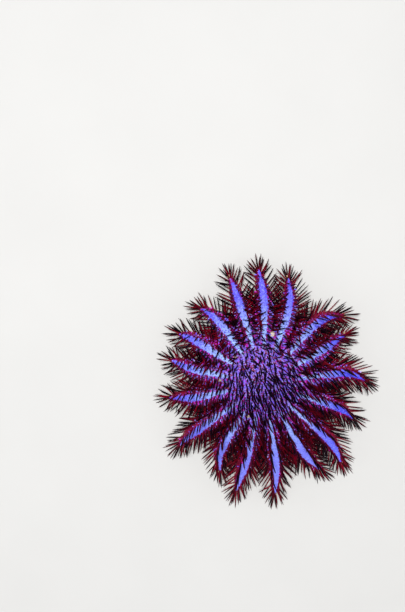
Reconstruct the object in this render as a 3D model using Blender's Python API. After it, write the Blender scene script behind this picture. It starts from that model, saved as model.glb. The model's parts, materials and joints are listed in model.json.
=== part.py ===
"""Crown of thorns starfish, life size, resting on a level floor.

A domed disc carries seventeen arms. The disc and each arm are objects of their own, which meet face to face with
a small gap. Every object carries its own spines, rooted in it and clear of those of its neighbours.
X points to the right and Y to the top of the animal as it is seen from above, and the floor is at Z = 0.
"""

import collections
import math
import random

import bmesh
import bpy
from mathutils import Vector
from mathutils.bvhtree import BVHTree

MM = 0.001

# The disc's centre, placed so that the middle of the whole model's outline is at X = 0, Y = 0
DISC_CENTRE = Vector((-4.25 * MM, 9.89 * MM, 0.0))

Arm = collections.namedtuple("Arm", "azimuth reach sweep")
# Clockwise from the top: the way each arm leaves the disc and the turn of its tip, in degrees, and its reach in mm
ARMS = (
    Arm(90, 137, 3),
    Arm(71, 130, 6),
    Arm(49, 127, -10),
    Arm(28, 116, 1),
    Arm(6, 130, -7),
    Arm(-20, 128, -4),
    Arm(-42, 152, -5),
    Arm(-61, 145, 4),
    Arm(-80, 155, -3),
    Arm(-100, 154, -2),
    Arm(-120, 133, 7),
    Arm(-141, 137, 1),
    Arm(-165, 120, -3),
    Arm(-189, 116, -3),
    Arm(-211, 119, 2),
    Arm(-234, 119, 5),
    Arm(-253, 134, 1),
)
COUNT = len(ARMS)

# Where an arm leaves the disc, as a share of its reach and within these limits, and the cleft between two arms
ROOT_SHARE = 0.62
ROOT_LEAST = 76 * MM
ROOT_MOST = 90 * MM
ROOT_GAP = 0.3 * MM
CLEFT_DEPTH = 4 * MM
CLEFT_HALF_WIDTH = 1.3 * MM

# Half width and height of an arm at its root and its tip, and the share of it that lifts off the floor
ARM_HALF_WIDTH_MOST = 12.5 * MM
TIP_HALF_WIDTH = 3.4 * MM
ROOT_HEIGHT = 20 * MM
TIP_HEIGHT = 5.6 * MM
TAPER = 1.6
TIP_POINT = 2.5 * MM
TIP_LIFT = 5 * MM
LIFT_FROM = 0.6
ARM_RINGS = 7

# The outline of an arm's section in shares of its half width and height: over the top, at the flank, on the sole
UPPER = ((-0.86, 0.66), (-0.42, 0.93), (0.0, 1.0), (0.42, 0.93), (0.86, 0.66))
FLANK = (1.0, 0.28)
LOWER = ((-0.62, 0.0), (-0.3, 0.0), (0.0, 0.2), (0.3, 0.0), (0.62, 0.0))

DISC_TOP = 30 * MM
DISC_RINGS = (0.16, 0.34, 0.52, 0.68, 0.84, 1.0)
FURROW_FROM = 0.35
FURROW_DEPTH = 10 * MM
# Rings of the underside, by their share of the way out and their height
SOLE_RINGS = ((0.6, 1.2 * MM), (0.22, 2.0 * MM))
GROOVE_DEPTH = 3 * MM
MOUTH_DEPTH = 7 * MM

# Spines are four-sided and end in a point
SPINE_SIDES = 4
SPINE_SINK = 2.2 * MM
SPINE_CLEAR = 0.35 * MM
FLOOR_CLEAR = 0.6 * MM
CHECK_STEPS = 12
ANGLE_SPREAD = 5
LENGTH_SPREAD = 0.08
STEEPEST = 88
# Ways to free a spine that would touch another: how far it is raised, in degrees, and its share of its length
TRIES = ((0, 1.0), (8, 1.0), (0, 0.85), (14, 0.9), (8, 0.75), (20, 0.7))

Row = collections.namedtuple("Row", "across up rise lean_root lean_tip length radius pitch")
# Rows along both sides of an arm: place on its section, angle above the floor, angle to the arm's own line at the
# root and at the tip, length, radius and spacing
ROWS = (
    Row(0.50, 0.88, 70, 75, 48, 26 * MM, 1.15 * MM, 6.6 * MM),
    Row(0.93, 0.49, 40, 64, 40, 27 * MM, 1.15 * MM, 6.0 * MM),
    Row(0.96, 0.22, 13, 60, 34, 26 * MM, 1.1 * MM, 5.6 * MM),
)
ROW_START = 0.45
ROW_STAGGER = 0.25
ROW_END = 0.97
SHORTER_AT_TIP = 0.15

Tip = collections.namedtuple("Tip", "along across up turn rise")
# Spines round an arm's tip, on one side: place on the arm, angle to the arm's line and angle above the floor
TIP_FAN = (
    Tip(1.0, 0.25, 0.35, 8, 12),
    Tip(0.97, 0.85, 0.35, 34, 12),
    Tip(0.96, 0.5, 0.9, 20, 38),
    Tip(0.91, 0.95, 0.5, 50, 24),
)
TIP_SPINE = 23 * MM
TIP_RADIUS = 0.85 * MM

DISC_SPINES = 180
DISC_SPINE = 27 * MM
DISC_SPINE_RADIUS = 1.2 * MM
DISC_LEAN = 34
STRIPE_FROM = 0.5
STRIPE_HALF_WIDTH = 3.6 * MM
GOLDEN_ANGLE = math.pi * (3 - math.sqrt(5))

VIOLET_SKIN = (0.12, 0.09, 0.75, 1.0)
MAROON_SPINE = (0.035, 0.002, 0.012, 1.0)
SMOOTH_UNDER = math.radians(40)


def smoothstep(x):
    x = min(1.0, max(0.0, x))
    return x * x * (3 - 2 * x)


def polar(radius, azimuth, z=0.0):
    """A point by its distance and direction from the disc's centre."""
    return DISC_CENTRE + Vector((radius * math.cos(azimuth), radius * math.sin(azimuth), z))


def arm_name(index):
    return f"arm_{index + 1:02d}"


def root_radius(arm):
    return min(ROOT_MOST, max(ROOT_LEAST, ROOT_SHARE * arm.reach * MM))


def spacing(index):
    """The angle between an arm and the next one clockwise."""
    following = ARMS[(index + 1) % COUNT].azimuth
    return math.radians((ARMS[index].azimuth - following) % 360)


def root_half_width(index):
    """As wide as the cleft to the nearer neighbour allows."""
    room = root_radius(ARMS[index]) * math.sin(min(spacing(index), spacing(index - 1)) / 2)
    return min(ARM_HALF_WIDTH_MOST, room - CLEFT_HALF_WIDTH)


def arm_line(arm, along):
    """A point of an arm's line on the floor, at a share of its free length."""
    start = root_radius(arm) + ROOT_GAP
    azimuth = math.radians(arm.azimuth + arm.sweep * along * along)
    return polar(start + (arm.reach * MM - start) * along, azimuth)


def arm_direction(arm, along):
    """The way the arm points there: straight out of the disc at its root, then along its line."""
    step = 0.01
    ahead = (arm_line(arm, along + step) - arm_line(arm, max(0.0, along - step))).normalized()
    radial = polar(1.0, math.radians(arm.azimuth)) - DISC_CENTRE
    return radial.lerp(ahead, smoothstep(3 * along)).normalized()


def arm_lift(along):
    return TIP_LIFT * smoothstep((along - LIFT_FROM) / (1 - LIFT_FROM)) ** 2


def arm_size(index, along):
    """Half width and height of an arm at a share of its free length."""
    full = 1 - along**TAPER
    width = TIP_HALF_WIDTH + (root_half_width(index) - TIP_HALF_WIDTH) * full
    height = TIP_HEIGHT + (ROOT_HEIGHT - TIP_HEIGHT) * full
    return width, height


def on_arm(index, along, across, up):
    """A point of an arm's section there, by shares of its half width and height."""
    arm = ARMS[index]
    direction = arm_direction(arm, along)
    side = Vector((-direction.y, direction.x, 0.0))
    width, height = arm_size(index, along)
    return arm_line(arm, along) + side * (across * width) + Vector((0, 0, arm_lift(along) + up * height))


def new_object(name, verts, faces, collection=None):
    mesh = bpy.data.meshes.new(name)
    mesh.from_pydata(verts, [], faces)
    shape = bmesh.new()
    shape.from_mesh(mesh)
    bmesh.ops.recalc_face_normals(shape, faces=shape.faces)
    shape.to_mesh(mesh)
    shape.free()
    obj = bpy.data.objects.new(name, mesh)
    (collection or bpy.context.scene.collection).objects.link(obj)
    return obj


def bridge(first, second, size):
    """Faces that join two closed rings of the same size, each given by its first vertex."""
    return [
        (first + i, first + (i + 1) % size, second + (i + 1) % size, second + i)
        for i in range(size)
    ]


def fan(ring, size, apex):
    """Faces from a closed ring to one vertex."""
    return [(ring + i, ring + (i + 1) % size, apex) for i in range(size)]


def arm_body(index):
    """One arm without its spines: rings of the section from the root face to the tip."""
    outline = [*UPPER, FLANK, *reversed(LOWER), (-FLANK[0], FLANK[1])]
    size = len(outline)
    verts, faces = [], []
    for ring in range(ARM_RINGS):
        along = ring / (ARM_RINGS - 1)
        verts += [on_arm(index, along, across, up) for across, up in outline]
        if ring:
            faces += bridge((ring - 1) * size, ring * size, size)
    faces.append(tuple(range(size)))
    arm = ARMS[index]
    point = Vector((0, 0, TIP_LIFT + TIP_HEIGHT / 2)) + arm_direction(arm, 1.0) * TIP_POINT
    verts.append(arm_line(arm, 1.0) + point)
    faces += fan((ARM_RINGS - 1) * size, size, len(verts) - 1)
    return new_object(arm_name(index), verts, faces)


# A line from the disc's centre to its rim: where it ends on top, at the flank and on the sole, how far the top
# drops there and how high the sole is
Column = collections.namedtuple("Column", "top flank low drop groove")


def disc_columns():
    """Five lines to each arm's root, and one to each cleft between two arms."""
    columns = []
    flanks = (-FLANK[0], *(across for across, _ in UPPER[1:-1]), FLANK[0])
    for index, arm in enumerate(ARMS):
        azimuth = math.radians(arm.azimuth)
        middle = polar(root_radius(arm), azimuth)
        clockwise = Vector((math.sin(azimuth), -math.cos(azimuth), 0.0)) * root_half_width(index)
        for upper, flank, lower in zip(UPPER, flanks, LOWER):
            columns.append(
                Column(
                    middle + clockwise * upper[0],
                    middle + clockwise * flank,
                    middle + clockwise * lower[0],
                    (1 - upper[1]) * ROOT_HEIGHT,
                    lower[1] * ROOT_HEIGHT,
                )
            )
        following = ARMS[(index + 1) % COUNT]
        nearer = min(root_radius(arm), root_radius(following))
        cleft = polar(nearer - CLEFT_DEPTH, azimuth - spacing(index) / 2)
        columns.append(Column(cleft, cleft, cleft, FURROW_DEPTH, 0.0))
    return columns


def dome_height(share):
    """Height of the disc over an arm's line, by the share of the way from its centre to the arm's root."""
    return ROOT_HEIGHT + (DISC_TOP - ROOT_HEIGHT) * (1 + math.cos(math.pi * share)) / 2


def disc_body():
    """The disc without its spines: a dome with a ridge to each arm and furrows between, over a hollowed sole."""
    columns = disc_columns()
    size = len(columns)
    rings = []
    for share in DISC_RINGS:
        furrow = smoothstep((share - FURROW_FROM) / (1 - FURROW_FROM))
        rings.append([(DISC_CENTRE.lerp(c.top, share), dome_height(share) - c.drop * furrow) for c in columns])
    rings.append([(c.flank, FLANK[1] * ROOT_HEIGHT) for c in columns])
    rings.append([(c.low, c.groove) for c in columns])
    for share, height in SOLE_RINGS:
        rings.append([(DISC_CENTRE.lerp(c.low, share), height + min(c.groove, GROOVE_DEPTH)) for c in columns])
    verts = [point + Vector((0, 0, height)) for ring in rings for point, height in ring]
    faces = []
    for number in range(len(rings) - 1):
        faces += bridge(number * size, (number + 1) * size, size)
    verts += [DISC_CENTRE + Vector((0, 0, DISC_TOP)), DISC_CENTRE + Vector((0, 0, MOUTH_DEPTH))]
    faces += fan(0, size, len(verts) - 2)
    faces += fan((len(rings) - 1) * size, size, len(verts) - 1)
    return new_object("disc", verts, faces)


Wish = collections.namedtuple("Wish", "root way length radius")
Spine = collections.namedtuple("Spine", "root tip radius")


def heading(direction, turn, rise):
    """A unit vector turned from a level direction and raised above the floor, in degrees."""
    azimuth = math.atan2(direction.y, direction.x) + math.radians(turn)
    level = math.cos(math.radians(rise))
    return Vector((level * math.cos(azimuth), level * math.sin(azimuth), math.sin(math.radians(rise))))


def spread(draw, amount):
    return draw.uniform(-amount, amount)


def arm_wishes(index):
    """The spines wanted on one arm: a fan round its tip, then rows along both sides, the lower ones flatter."""
    draw = random.Random(index)
    arm = ARMS[index]
    wishes = []
    for side in (1, -1):
        for tip in TIP_FAN:
            root = on_arm(index, tip.along, side * tip.across, tip.up)
            way = heading(arm_direction(arm, 1.0), side * tip.turn + spread(draw, ANGLE_SPREAD), tip.rise)
            wishes.append(Wish(root, way, TIP_SPINE * (1 + spread(draw, LENGTH_SPREAD)), TIP_RADIUS))
    free_length = arm.reach * MM - root_radius(arm)
    for number, row in enumerate(ROWS):
        steps = int(free_length / row.pitch)
        first = ROW_START + ROW_STAGGER * (number % 2)
        for side in (1, -1):
            for step in range(steps):
                along = (step + first) / steps * ROW_END
                lean = row.lean_root + (row.lean_tip - row.lean_root) * along
                turn = side * (lean + spread(draw, ANGLE_SPREAD))
                way = heading(arm_direction(arm, along), turn, row.rise + spread(draw, ANGLE_SPREAD))
                size = (1 - SHORTER_AT_TIP * along**2) * (1 + spread(draw, LENGTH_SPREAD))
                root = on_arm(index, along, side * row.across, row.up)
                wishes.append(Wish(root, way, row.length * size, row.radius))
    return wishes


def angle_from(arm, azimuth):
    return math.remainder(azimuth - math.radians(arm.azimuth), math.tau)


def disc_wishes(dome):
    """The spines wanted on the disc, spread evenly over its top, leaning outwards near the rim and off the stripes."""
    draw = random.Random(COUNT)
    wishes = []
    for number in range(DISC_SPINES):
        share = math.sqrt((number + 0.5) / DISC_SPINES)
        azimuth = number * GOLDEN_ANGLE
        arm = min(ARMS, key=lambda each: abs(angle_from(each, azimuth)))
        radius = share * (root_radius(arm) - CLEFT_DEPTH)
        offset = angle_from(arm, azimuth)
        if share > STRIPE_FROM and abs(offset) * radius < STRIPE_HALF_WIDTH:
            offset = math.copysign(STRIPE_HALF_WIDTH / radius, offset)
        azimuth = math.radians(arm.azimuth) + offset
        root = dome.ray_cast(polar(radius, azimuth, 2 * DISC_TOP), Vector((0, 0, -1)))[0]
        if root is None:
            continue
        rise = 90 - DISC_LEAN * share**2 + spread(draw, ANGLE_SPREAD)
        way = heading(polar(1.0, azimuth) - DISC_CENTRE, spread(draw, 3 * ANGLE_SPREAD), rise)
        wishes.append(Wish(root, way, DISC_SPINE * (1 + spread(draw, LENGTH_SPREAD)), DISC_SPINE_RADIUS))
    return wishes


def nearest_shares(a, b):
    """Where two spines come nearest, as shares of their lengths."""
    u, v, w = a.tip - a.root, b.tip - b.root, a.root - b.root
    uu, uv, vv, uw, vw = u.dot(u), u.dot(v), v.dot(v), u.dot(w), v.dot(w)
    cross = uu * vv - uv * uv
    s = min(1.0, max(0.0, (uv * vw - vv * uw) / cross)) if cross > 1e-16 else 0.0
    t = min(1.0, max(0.0, (uv * s + vw) / vv))
    s = min(1.0, max(0.0, (uv * t - uw) / uu))
    return s, t


def spines_apart(a, b):
    s, t = nearest_shares(a, b)
    distance = (a.root.lerp(a.tip, s) - b.root.lerp(b.tip, t)).length
    return distance > a.radius * (1 - s) + b.radius * (1 - t) + SPINE_CLEAR


def clear_of_body(spine, tree):
    """True if a spine neither enters a body nor comes too near its surface."""
    length = (spine.tip - spine.root).length
    if tree.ray_cast(spine.root, (spine.tip - spine.root) / length, length)[0] is not None:
        return False
    for step in range(CHECK_STEPS + 1):
        share = step / CHECK_STEPS
        room = spine.radius * (1 - share) + SPINE_CLEAR
        if tree.find_nearest(spine.root.lerp(spine.tip, share), room)[0] is not None:
            return False
    return True


def is_clear(spine, placed, others):
    """True if a spine keeps off the floor, the other bodies and every spine that is already placed."""
    return (
        spine.tip.z > FLOOR_CLEAR
        and all(spines_apart(spine, other) for other in placed)
        and all(clear_of_body(spine, tree) for tree in others)
    )


def fitted(wish, placed, others):
    """The wanted spine, raised or shortened until it is clear, or None."""
    level = Vector((wish.way.x, wish.way.y, 0.0))
    rise = math.degrees(math.atan2(wish.way.z, level.length))
    for raised, share in TRIES:
        way = heading(level, 0.0, min(STEEPEST, rise + raised))
        spine = Spine(wish.root - way * SPINE_SINK, wish.root + way * wish.length * share, wish.radius)
        if is_clear(spine, placed, others):
            return spine
    return None


def spine_object(spine, material, collection):
    """A closed point of a few sides on its sunk base."""
    way = (spine.tip - spine.root).normalized()
    across = way.orthogonal().normalized()
    other = way.cross(across)
    verts = []
    for side in range(SPINE_SIDES):
        angle = math.tau * side / SPINE_SIDES
        verts.append(spine.root + (across * math.cos(angle) + other * math.sin(angle)) * spine.radius)
    verts.append(spine.tip)
    faces = [*fan(0, SPINE_SIDES, SPINE_SIDES), tuple(range(SPINE_SIDES))]
    obj = new_object("spine", verts, faces, collection)
    obj.data.materials.append(material)
    return obj


def keep_largest_surface(mesh):
    """Drops every closed surface of a mesh but the one with the most faces."""
    shape = bmesh.new()
    shape.from_mesh(mesh)
    left = set(shape.faces)
    surfaces = []
    while left:
        surface = {left.pop()}
        front = list(surface)
        while front:
            near = {face for edge in front.pop().edges for face in edge.link_faces} - surface
            surface |= near
            front += near
        left -= surface
        surfaces.append(surface)
    largest = max(surfaces, key=len)
    spare = [face for surface in surfaces if surface is not largest for face in surface]
    bmesh.ops.delete(shape, geom=spare, context="FACES")
    shape.to_mesh(mesh)
    shape.free()


def join_spines(body, spines, material):
    """Fuses spines to the body that they grow from, in one union."""
    collection = bpy.data.collections.new(f"{body.name}_spines")
    bpy.context.scene.collection.children.link(collection)
    parts = [spine_object(spine, material, collection) for spine in spines]
    union = body.modifiers.new("spines", "BOOLEAN")
    union.operation = "UNION"
    union.operand_type = "COLLECTION"
    union.collection = collection
    union.solver = "EXACT"
    union.material_mode = "TRANSFER"
    bpy.context.view_layer.objects.active = body
    bpy.ops.object.modifier_apply(modifier=union.name)
    for part in parts:
        bpy.data.objects.remove(part)
    bpy.data.collections.remove(collection)
    keep_largest_surface(body.data)
    body.data.shade_smooth()
    body.data.set_sharp_from_angle(angle=SMOOTH_UNDER)


def principled(name, colour, roughness):
    material = bpy.data.materials.new(name)
    material.use_nodes = True
    shader = material.node_tree.nodes["Principled BSDF"]
    shader.inputs["Base Color"].default_value = colour
    shader.inputs["Roughness"].default_value = roughness
    shader.inputs["Metallic"].default_value = 0.0
    return material


def grow_spines(bodies):
    """Places the spines of every body, arms first, so that each is clear of all others."""
    graph = bpy.context.evaluated_depsgraph_get()
    trees = [BVHTree.FromObject(body, graph) for body in bodies]
    wishes = [arm_wishes(index) for index in range(COUNT)] + [disc_wishes(trees[COUNT])]
    placed = []
    grown = []
    for number in range(len(bodies)):
        others = trees[:number] + trees[number + 1 :]
        own = []
        for wish in wishes[number]:
            spine = fitted(wish, placed + own, others)
            if spine:
                own.append(spine)
        placed += own
        grown.append(own)
    return grown


def main():
    for obj in list(bpy.data.objects):
        bpy.data.objects.remove(obj)
    skin = principled("skin", VIOLET_SKIN, 0.5)
    horn = principled("spine", MAROON_SPINE, 0.45)
    bodies = [arm_body(index) for index in range(COUNT)] + [disc_body()]
    for body in bodies:
        body.data.materials.append(skin)
    for body, spines in zip(bodies, grow_spines(bodies)):
        join_spines(body, spines, horn)


main()
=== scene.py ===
"""The looks of a crown of thorns starfish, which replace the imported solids, and the stage that it is seen on.

One continuous skin with bare violet stripes carries thousands of spines, dark red gill tufts, beads, tube
feet and sieve plates.
"""

import itertools
import json
import math
import random
from collections import namedtuple

import bmesh
import bpy
import numpy as np
from bpy.props import FloatProperty, FloatVectorProperty, IntProperty, PointerProperty
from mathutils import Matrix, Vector, noise
from mathutils.bvhtree import BVHTree

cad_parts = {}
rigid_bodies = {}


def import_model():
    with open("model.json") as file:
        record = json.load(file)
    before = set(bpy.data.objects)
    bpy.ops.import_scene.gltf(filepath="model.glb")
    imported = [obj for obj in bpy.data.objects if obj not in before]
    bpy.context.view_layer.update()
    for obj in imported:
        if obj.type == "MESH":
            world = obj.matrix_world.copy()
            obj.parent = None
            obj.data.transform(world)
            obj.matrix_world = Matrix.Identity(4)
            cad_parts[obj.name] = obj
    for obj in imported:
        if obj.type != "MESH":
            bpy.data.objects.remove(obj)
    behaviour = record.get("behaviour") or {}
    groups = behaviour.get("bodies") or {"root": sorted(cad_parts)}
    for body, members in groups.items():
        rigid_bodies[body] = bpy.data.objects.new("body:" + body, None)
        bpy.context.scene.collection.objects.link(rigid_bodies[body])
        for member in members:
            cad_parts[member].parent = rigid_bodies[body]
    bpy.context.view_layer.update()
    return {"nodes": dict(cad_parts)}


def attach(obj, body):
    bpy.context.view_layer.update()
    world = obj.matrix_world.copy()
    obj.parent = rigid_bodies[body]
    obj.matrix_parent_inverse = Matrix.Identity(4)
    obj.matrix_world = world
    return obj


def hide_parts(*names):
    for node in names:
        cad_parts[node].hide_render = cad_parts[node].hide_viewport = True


bl_info = {
    "name": "Crown of thorns starfish",
    "version": (1, 0, 0),
    "blender": (4, 5, 0),
    "location": "3D View > Sidebar > Starfish",
    "description": "Dresses a solid starfish in skin, spines and feet, and sets it on a stage",
    "category": "Object",
}

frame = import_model()

MM = 0.001
UP = Vector((0, 0, 1))
NODES = sorted(frame["nodes"])

# The animal's plan, as the solids have it
DISC_CENTRE = Vector((-4.25 * MM, 9.89 * MM, 0.0))
ROOT_SHARE = 0.62
ROOT_LEAST = 76 * MM
ROOT_MOST = 90 * MM
# Clockwise from the top: an arm's azimuth in degrees, its reach in mm and the turn of its tip in degrees
ARM_PLAN = (
    (90, 137, 3), (71, 130, 6), (49, 127, -10), (28, 116, 1), (6, 130, -7), (-20, 128, -4),
    (-42, 152, -5), (-61, 145, 4), (-80, 155, -3), (-100, 154, -2), (-120, 133, 7), (-141, 137, 1),
    (-165, 120, -3), (-189, 116, -3), (-211, 119, 2), (-234, 119, 5), (-253, 134, 1),
)
Arm = namedtuple("Arm", "azimuth reach sweep root")
ARMS = [
    Arm(azimuth, reach * MM, sweep, min(ROOT_MOST, max(ROOT_LEAST, ROOT_SHARE * reach * MM)))
    for azimuth, reach, sweep in ARM_PLAN
]
ARM_REACHES = np.array([arm.reach for arm in ARMS])
ARM_ROOTS = np.array([arm.root for arm in ARMS])
COUNT = len(ARMS)
CLEFT_DEPTH = 4 * MM
CLEFT_HALF_WIDTH = 1.3 * MM
ARM_HALF_WIDTH_MOST = 12.5 * MM
TIP_HALF_WIDTH = 3.4 * MM
ROOT_HEIGHT = 20 * MM
TIP_HEIGHT = 5.6 * MM
TAPER = 1.6
TIP_LIFT = 5 * MM
TIP_ROUND = 2 * MM
LIFT_FROM = 0.6
DISC_TOP = 30 * MM
FURROW_FROM = 0.35
FURROW_DEPTH = 10 * MM

# The skin's own section: how flat its top is, and how far it stands off the floor for the feet beneath it
SECTION_POWER = 2.5
SECTION_ROOT = 2.2
SOLE_POWER = 6
SOLE_HEIGHT = 2.4 * MM
FLANK_UP = 0.3
GROOVE_HALF_WIDTH = 3.0 * MM
GROOVE_SLOPE = 1.1
GROOVE_UP = 0.26
MOUTH_RADIUS = 7 * MM
MOUTH_DEPTH = 9 * MM
# How the forms under the skin are divided, and how their stations crowd towards an arm's tip
ARM_INSIDE = 0.82
ARM_STATIONS = 34
ARM_SIDES = 28
STATION_POWER = 1.25
DISC_COLUMNS = 16
DISC_RINGS = 26
# The steps of the lines that the skin is measured by, and how many vertices are measured at a time
LINE_STEP = 1.5 * MM
PAST_TIP = 6 * MM
TURN_PROBE = 0.01
TURN_RATE = 3
BATCH = 4000
# The skin's folds and the pimples on them: how many there are in a metre, and the height of the pimples
FOLDS = 260
PIMPLES = 620
PIMPLE_SHARE = 0.6
RELIEF_MIDDLE = 0.4

# The unwrap of the skin, and the size on it of a form that grows from the skin
UNWRAP_LENGTH = 165 * MM
UNWRAP_ROUND = 0.2
UNWRAP_MOST = 1.2
UNWRAP_WIDTH = 0.9
UNWRAP_MARGIN = 0.02
PATCH = 0.003

# What grows on the back keeps above the first height within this distance out, and above the lowest beyond it
BACK_HEIGHT = 14 * MM
BACK_OUT = 60 * MM
LOWEST_ROOT = 4.2 * MM
UPWARDS = 0.3
# The bare stripe on an arm: where it is narrow, wide, begins to point and ends, and how much it narrows
STRIPE_NARROW = 0.3
STRIPE_WIDE = 0.7
STRIPE_POINTING = 0.78
STRIPE_END = 1.03
STRIPE_INNER = 0.45
STRIPE_POINT = 0.85

# The stage. Each light has a name, a place, a size and a share of the power
FLOOR_RADIUS = 20.0
FLOOR_SIDES = 96
CAMERA_FROM_DISC = Vector((-75.0 * MM, 174.8 * MM, 594.8 * MM))
CLIP_START = 0.01
STUDIO_LIGHTS = (
    ("light_above", (-0.22, 0.46, 1.36), 0.4, 1.0),
    ("light_left", (-1.2, -0.4, 0.9), 0.8, 0.2),
    ("light_right", (1.2, 0.1, 0.8), 0.8, 0.15),
)
FAR_LIGHT_SPREAD = math.radians(25)
FLOOR_SHADE = 0.94
FLOOR_CLOUDS = 0.12
# The room's glow goes from the first strength to the second between these heights
ROOM_COLOUR = (0.95, 0.96, 1.0, 1.0)
GLOW_HEIGHTS = (0.25, 0.7)
GLOW_STRENGTHS = (0.8, 0.2)


def distance(name, description, default, least=0.0):
    return FloatProperty(name=name, description=description, default=default, min=least, unit="LENGTH")


def amount(name, description, default):
    return FloatProperty(name=name, description=description, default=default, min=0.0)


def tint(name, description, red, green, blue):
    shade = (red, green, blue, 1.0)
    return FloatVectorProperty(name=name, description=description, subtype="COLOR", size=4, default=shade)


class StarfishBody(bpy.types.PropertyGroup):
    """The skin's fineness."""

    skin_depth: distance("Skin depth", "How far the skin lies inside the solids", 0.4 * MM)
    voxel: distance("Skin fineness", "Size of the faces of the skin", 1.2 * MM, 0.5 * MM)
    smoothing: IntProperty(
        name="Smoothing",
        description="How often the skin is smoothed where the arms run into the disc",
        default=8,
        min=0,
    )
    wrinkle: distance("Wrinkles", "Height of the skin's fine relief", 0.35 * MM)


class StarfishSpines(bpy.types.PropertyGroup):
    """The long spines of the disc and arms."""

    gap: distance("Gap", "Least distance between two spines' roots", 4.3 * MM, 2 * MM)
    flank_gap: distance("Flank gap", "Least distance between two roots on the flanks", 3.5 * MM, 2 * MM)
    disc_gap: distance("Disc gap", "Least distance between two roots on the disc's middle", 3.4 * MM, 2 * MM)
    sway: FloatVectorProperty(
        name="Sway",
        description="How far the upright spines all lean one way, in shares of their length",
        size=3,
        default=(0.0, -0.12, 0.0),
    )
    length: distance("Length", "Length of a full spine", 25.5 * MM, 1 * MM)
    radius: distance("Radius", "Radius of a spine above its collar", 0.98 * MM)
    bend: amount("Bend", "How far a spine bends, in shares of its length", 0.05)
    colour: tint("Colour", "Colour of a spine's shaft", 0.004, 0.0003, 0.002)
    foot_colour: tint("Foot colour", "Colour of the flesh round a spine's foot", 0.3, 0.006, 0.1)


class StarfishMarks(bpy.types.PropertyGroup):
    """The colours of the skin."""

    stripe_half_width: distance("Stripe half width", "Half the width of an arm's bare stripe", 4.6 * MM)
    stripe_from: distance("Stripe start", "How far out on the disc the stripes begin", 42 * MM)
    stripe: tint("Stripe", "Colour of the stripe", 0.1, 0.085, 0.86)
    stripe_near: tint("Stripe near the disc", "Colour of the stripe as it leaves the disc", 0.35, 0.52, 1.0)
    stripe_deep: tint("Stripe, deep", "Colour of the darker clouds in the stripe", 0.05, 0.025, 0.5)
    flank: tint("Flank", "Colour of the arms' flanks", 0.24, 0.001, 0.018)
    edge: tint("Stripe edge", "Colour between the stripe and the flank", 0.2, 0.005, 0.2)
    disc_light: tint("Disc, light", "Light mottles of the disc", 0.32, 0.19, 1.0)
    # Partly painted shade: the disc's near black mottles also stand in for the shade between its spines and
    # beads
    disc_dark_and_shade: tint("Disc, dark", "Dark mottles of the disc", 0.025, 0.0006, 0.02)
    sole: tint("Sole", "Colour of the underside", 0.42, 0.27, 0.2)


class StarfishCoat(bpy.types.PropertyGroup):
    """Gill tufts, beads and feet."""

    tuft_gap: distance("Tuft gap", "Least distance between two gill tufts", 2.2 * MM)
    tuft_length: distance("Tuft length", "Length of a finger of a gill tuft", 2.2 * MM)
    tuft_colour: tint("Tuft colour", "Colour of the gill tufts", 0.42, 0.003, 0.03)
    bead_gap: distance("Bead gap", "Least distance between two beads", 2.2 * MM)
    bead_colour: tint("Bead colour", "Colour of the beads", 0.3, 0.24, 1.0)
    foot_gap: distance("Foot gap", "Distance between two tube feet of a row", 2.7 * MM)
    foot_colour: tint("Foot colour", "Colour of the tube feet", 0.72, 0.5, 0.24)


class StarfishStage(bpy.types.PropertyGroup):
    """Floor, lights and camera."""

    floor_colour: tint("Floor", "Colour of the floor", 0.58, 0.575, 0.56)
    focal_length: amount("Focal length", "Focal length of the camera in millimetres", 28.24)
    tilt: FloatProperty(
        name="Tilt",
        description="How far the camera leans from straight down",
        default=math.radians(8),
        subtype="ANGLE",
    )
    key_power: amount("Key light", "Power of the round light above", 7.0)
    far_strength: amount("Far light", "Strength of the even light over the whole floor", 2.9)


def smoothstep(x):
    x = np.clip(x, 0.0, 1.0)
    return x * x * (3 - 2 * x)


def fade(value, start, end):
    """A smooth share that is 0 at the start and 1 at the end, which may be the lower of the two."""
    return smoothstep((value - start) / (end - start))


def falling(off, half, slope=1.0):
    """A smooth share that falls from 1 to 0 and is a half at one distance."""
    return float(smoothstep(0.5 + slope * (1 - off / half)))


def polar(radius, azimuth):
    """A point on the floor by its distance and direction from the disc's centre."""
    return DISC_CENTRE + Vector((radius * math.cos(azimuth), radius * math.sin(azimuth), 0.0))


def spacing(index):
    """The angle between an arm and the next one clockwise."""
    following = ARMS[(index + 1) % COUNT].azimuth
    return math.radians((ARMS[index].azimuth - following) % 360)


def root_half_width(index):
    room = ARMS[index].root * math.sin(min(spacing(index), spacing(index - 1)) / 2)
    return min(ARM_HALF_WIDTH_MOST, room - CLEFT_HALF_WIDTH)


def arm_line(arm, along):
    """A point of an arm's line on the floor, at a share of its free length. Below 0 it is in the disc."""
    azimuth = math.radians(arm.azimuth + arm.sweep * max(0.0, along) ** 2)
    return polar(arm.root + (arm.reach - arm.root) * along, azimuth)


def arm_axes(arm, along):
    """The way an arm runs at a share of its free length, and the way to its left."""
    way = polar(1.0, math.radians(arm.azimuth)) - DISC_CENTRE
    if along > 0:
        ahead = (arm_line(arm, along + TURN_PROBE) - arm_line(arm, along - TURN_PROBE)).normalized()
        way = way.lerp(ahead, float(smoothstep(TURN_RATE * along))).normalized()
    return way, Vector((-way.y, way.x, 0.0))


def arm_lift(along):
    return TIP_LIFT * float(fade(along, LIFT_FROM, 1)) ** 2


def arm_size(index, along):
    """Half width and height of an arm at a share of its free length."""
    full = 1 - max(0.0, along) ** TAPER
    width = TIP_HALF_WIDTH + (root_half_width(index) - TIP_HALF_WIDTH) * full
    height = TIP_HEIGHT + (ROOT_HEIGHT - TIP_HEIGHT) * full
    return width, height


def crown(across):
    """Height of the skin over a section, as a share, at a share of its half width."""
    return (1 - min(1.0, abs(across)) ** SECTION_POWER) ** (1 / SECTION_ROOT)


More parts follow.
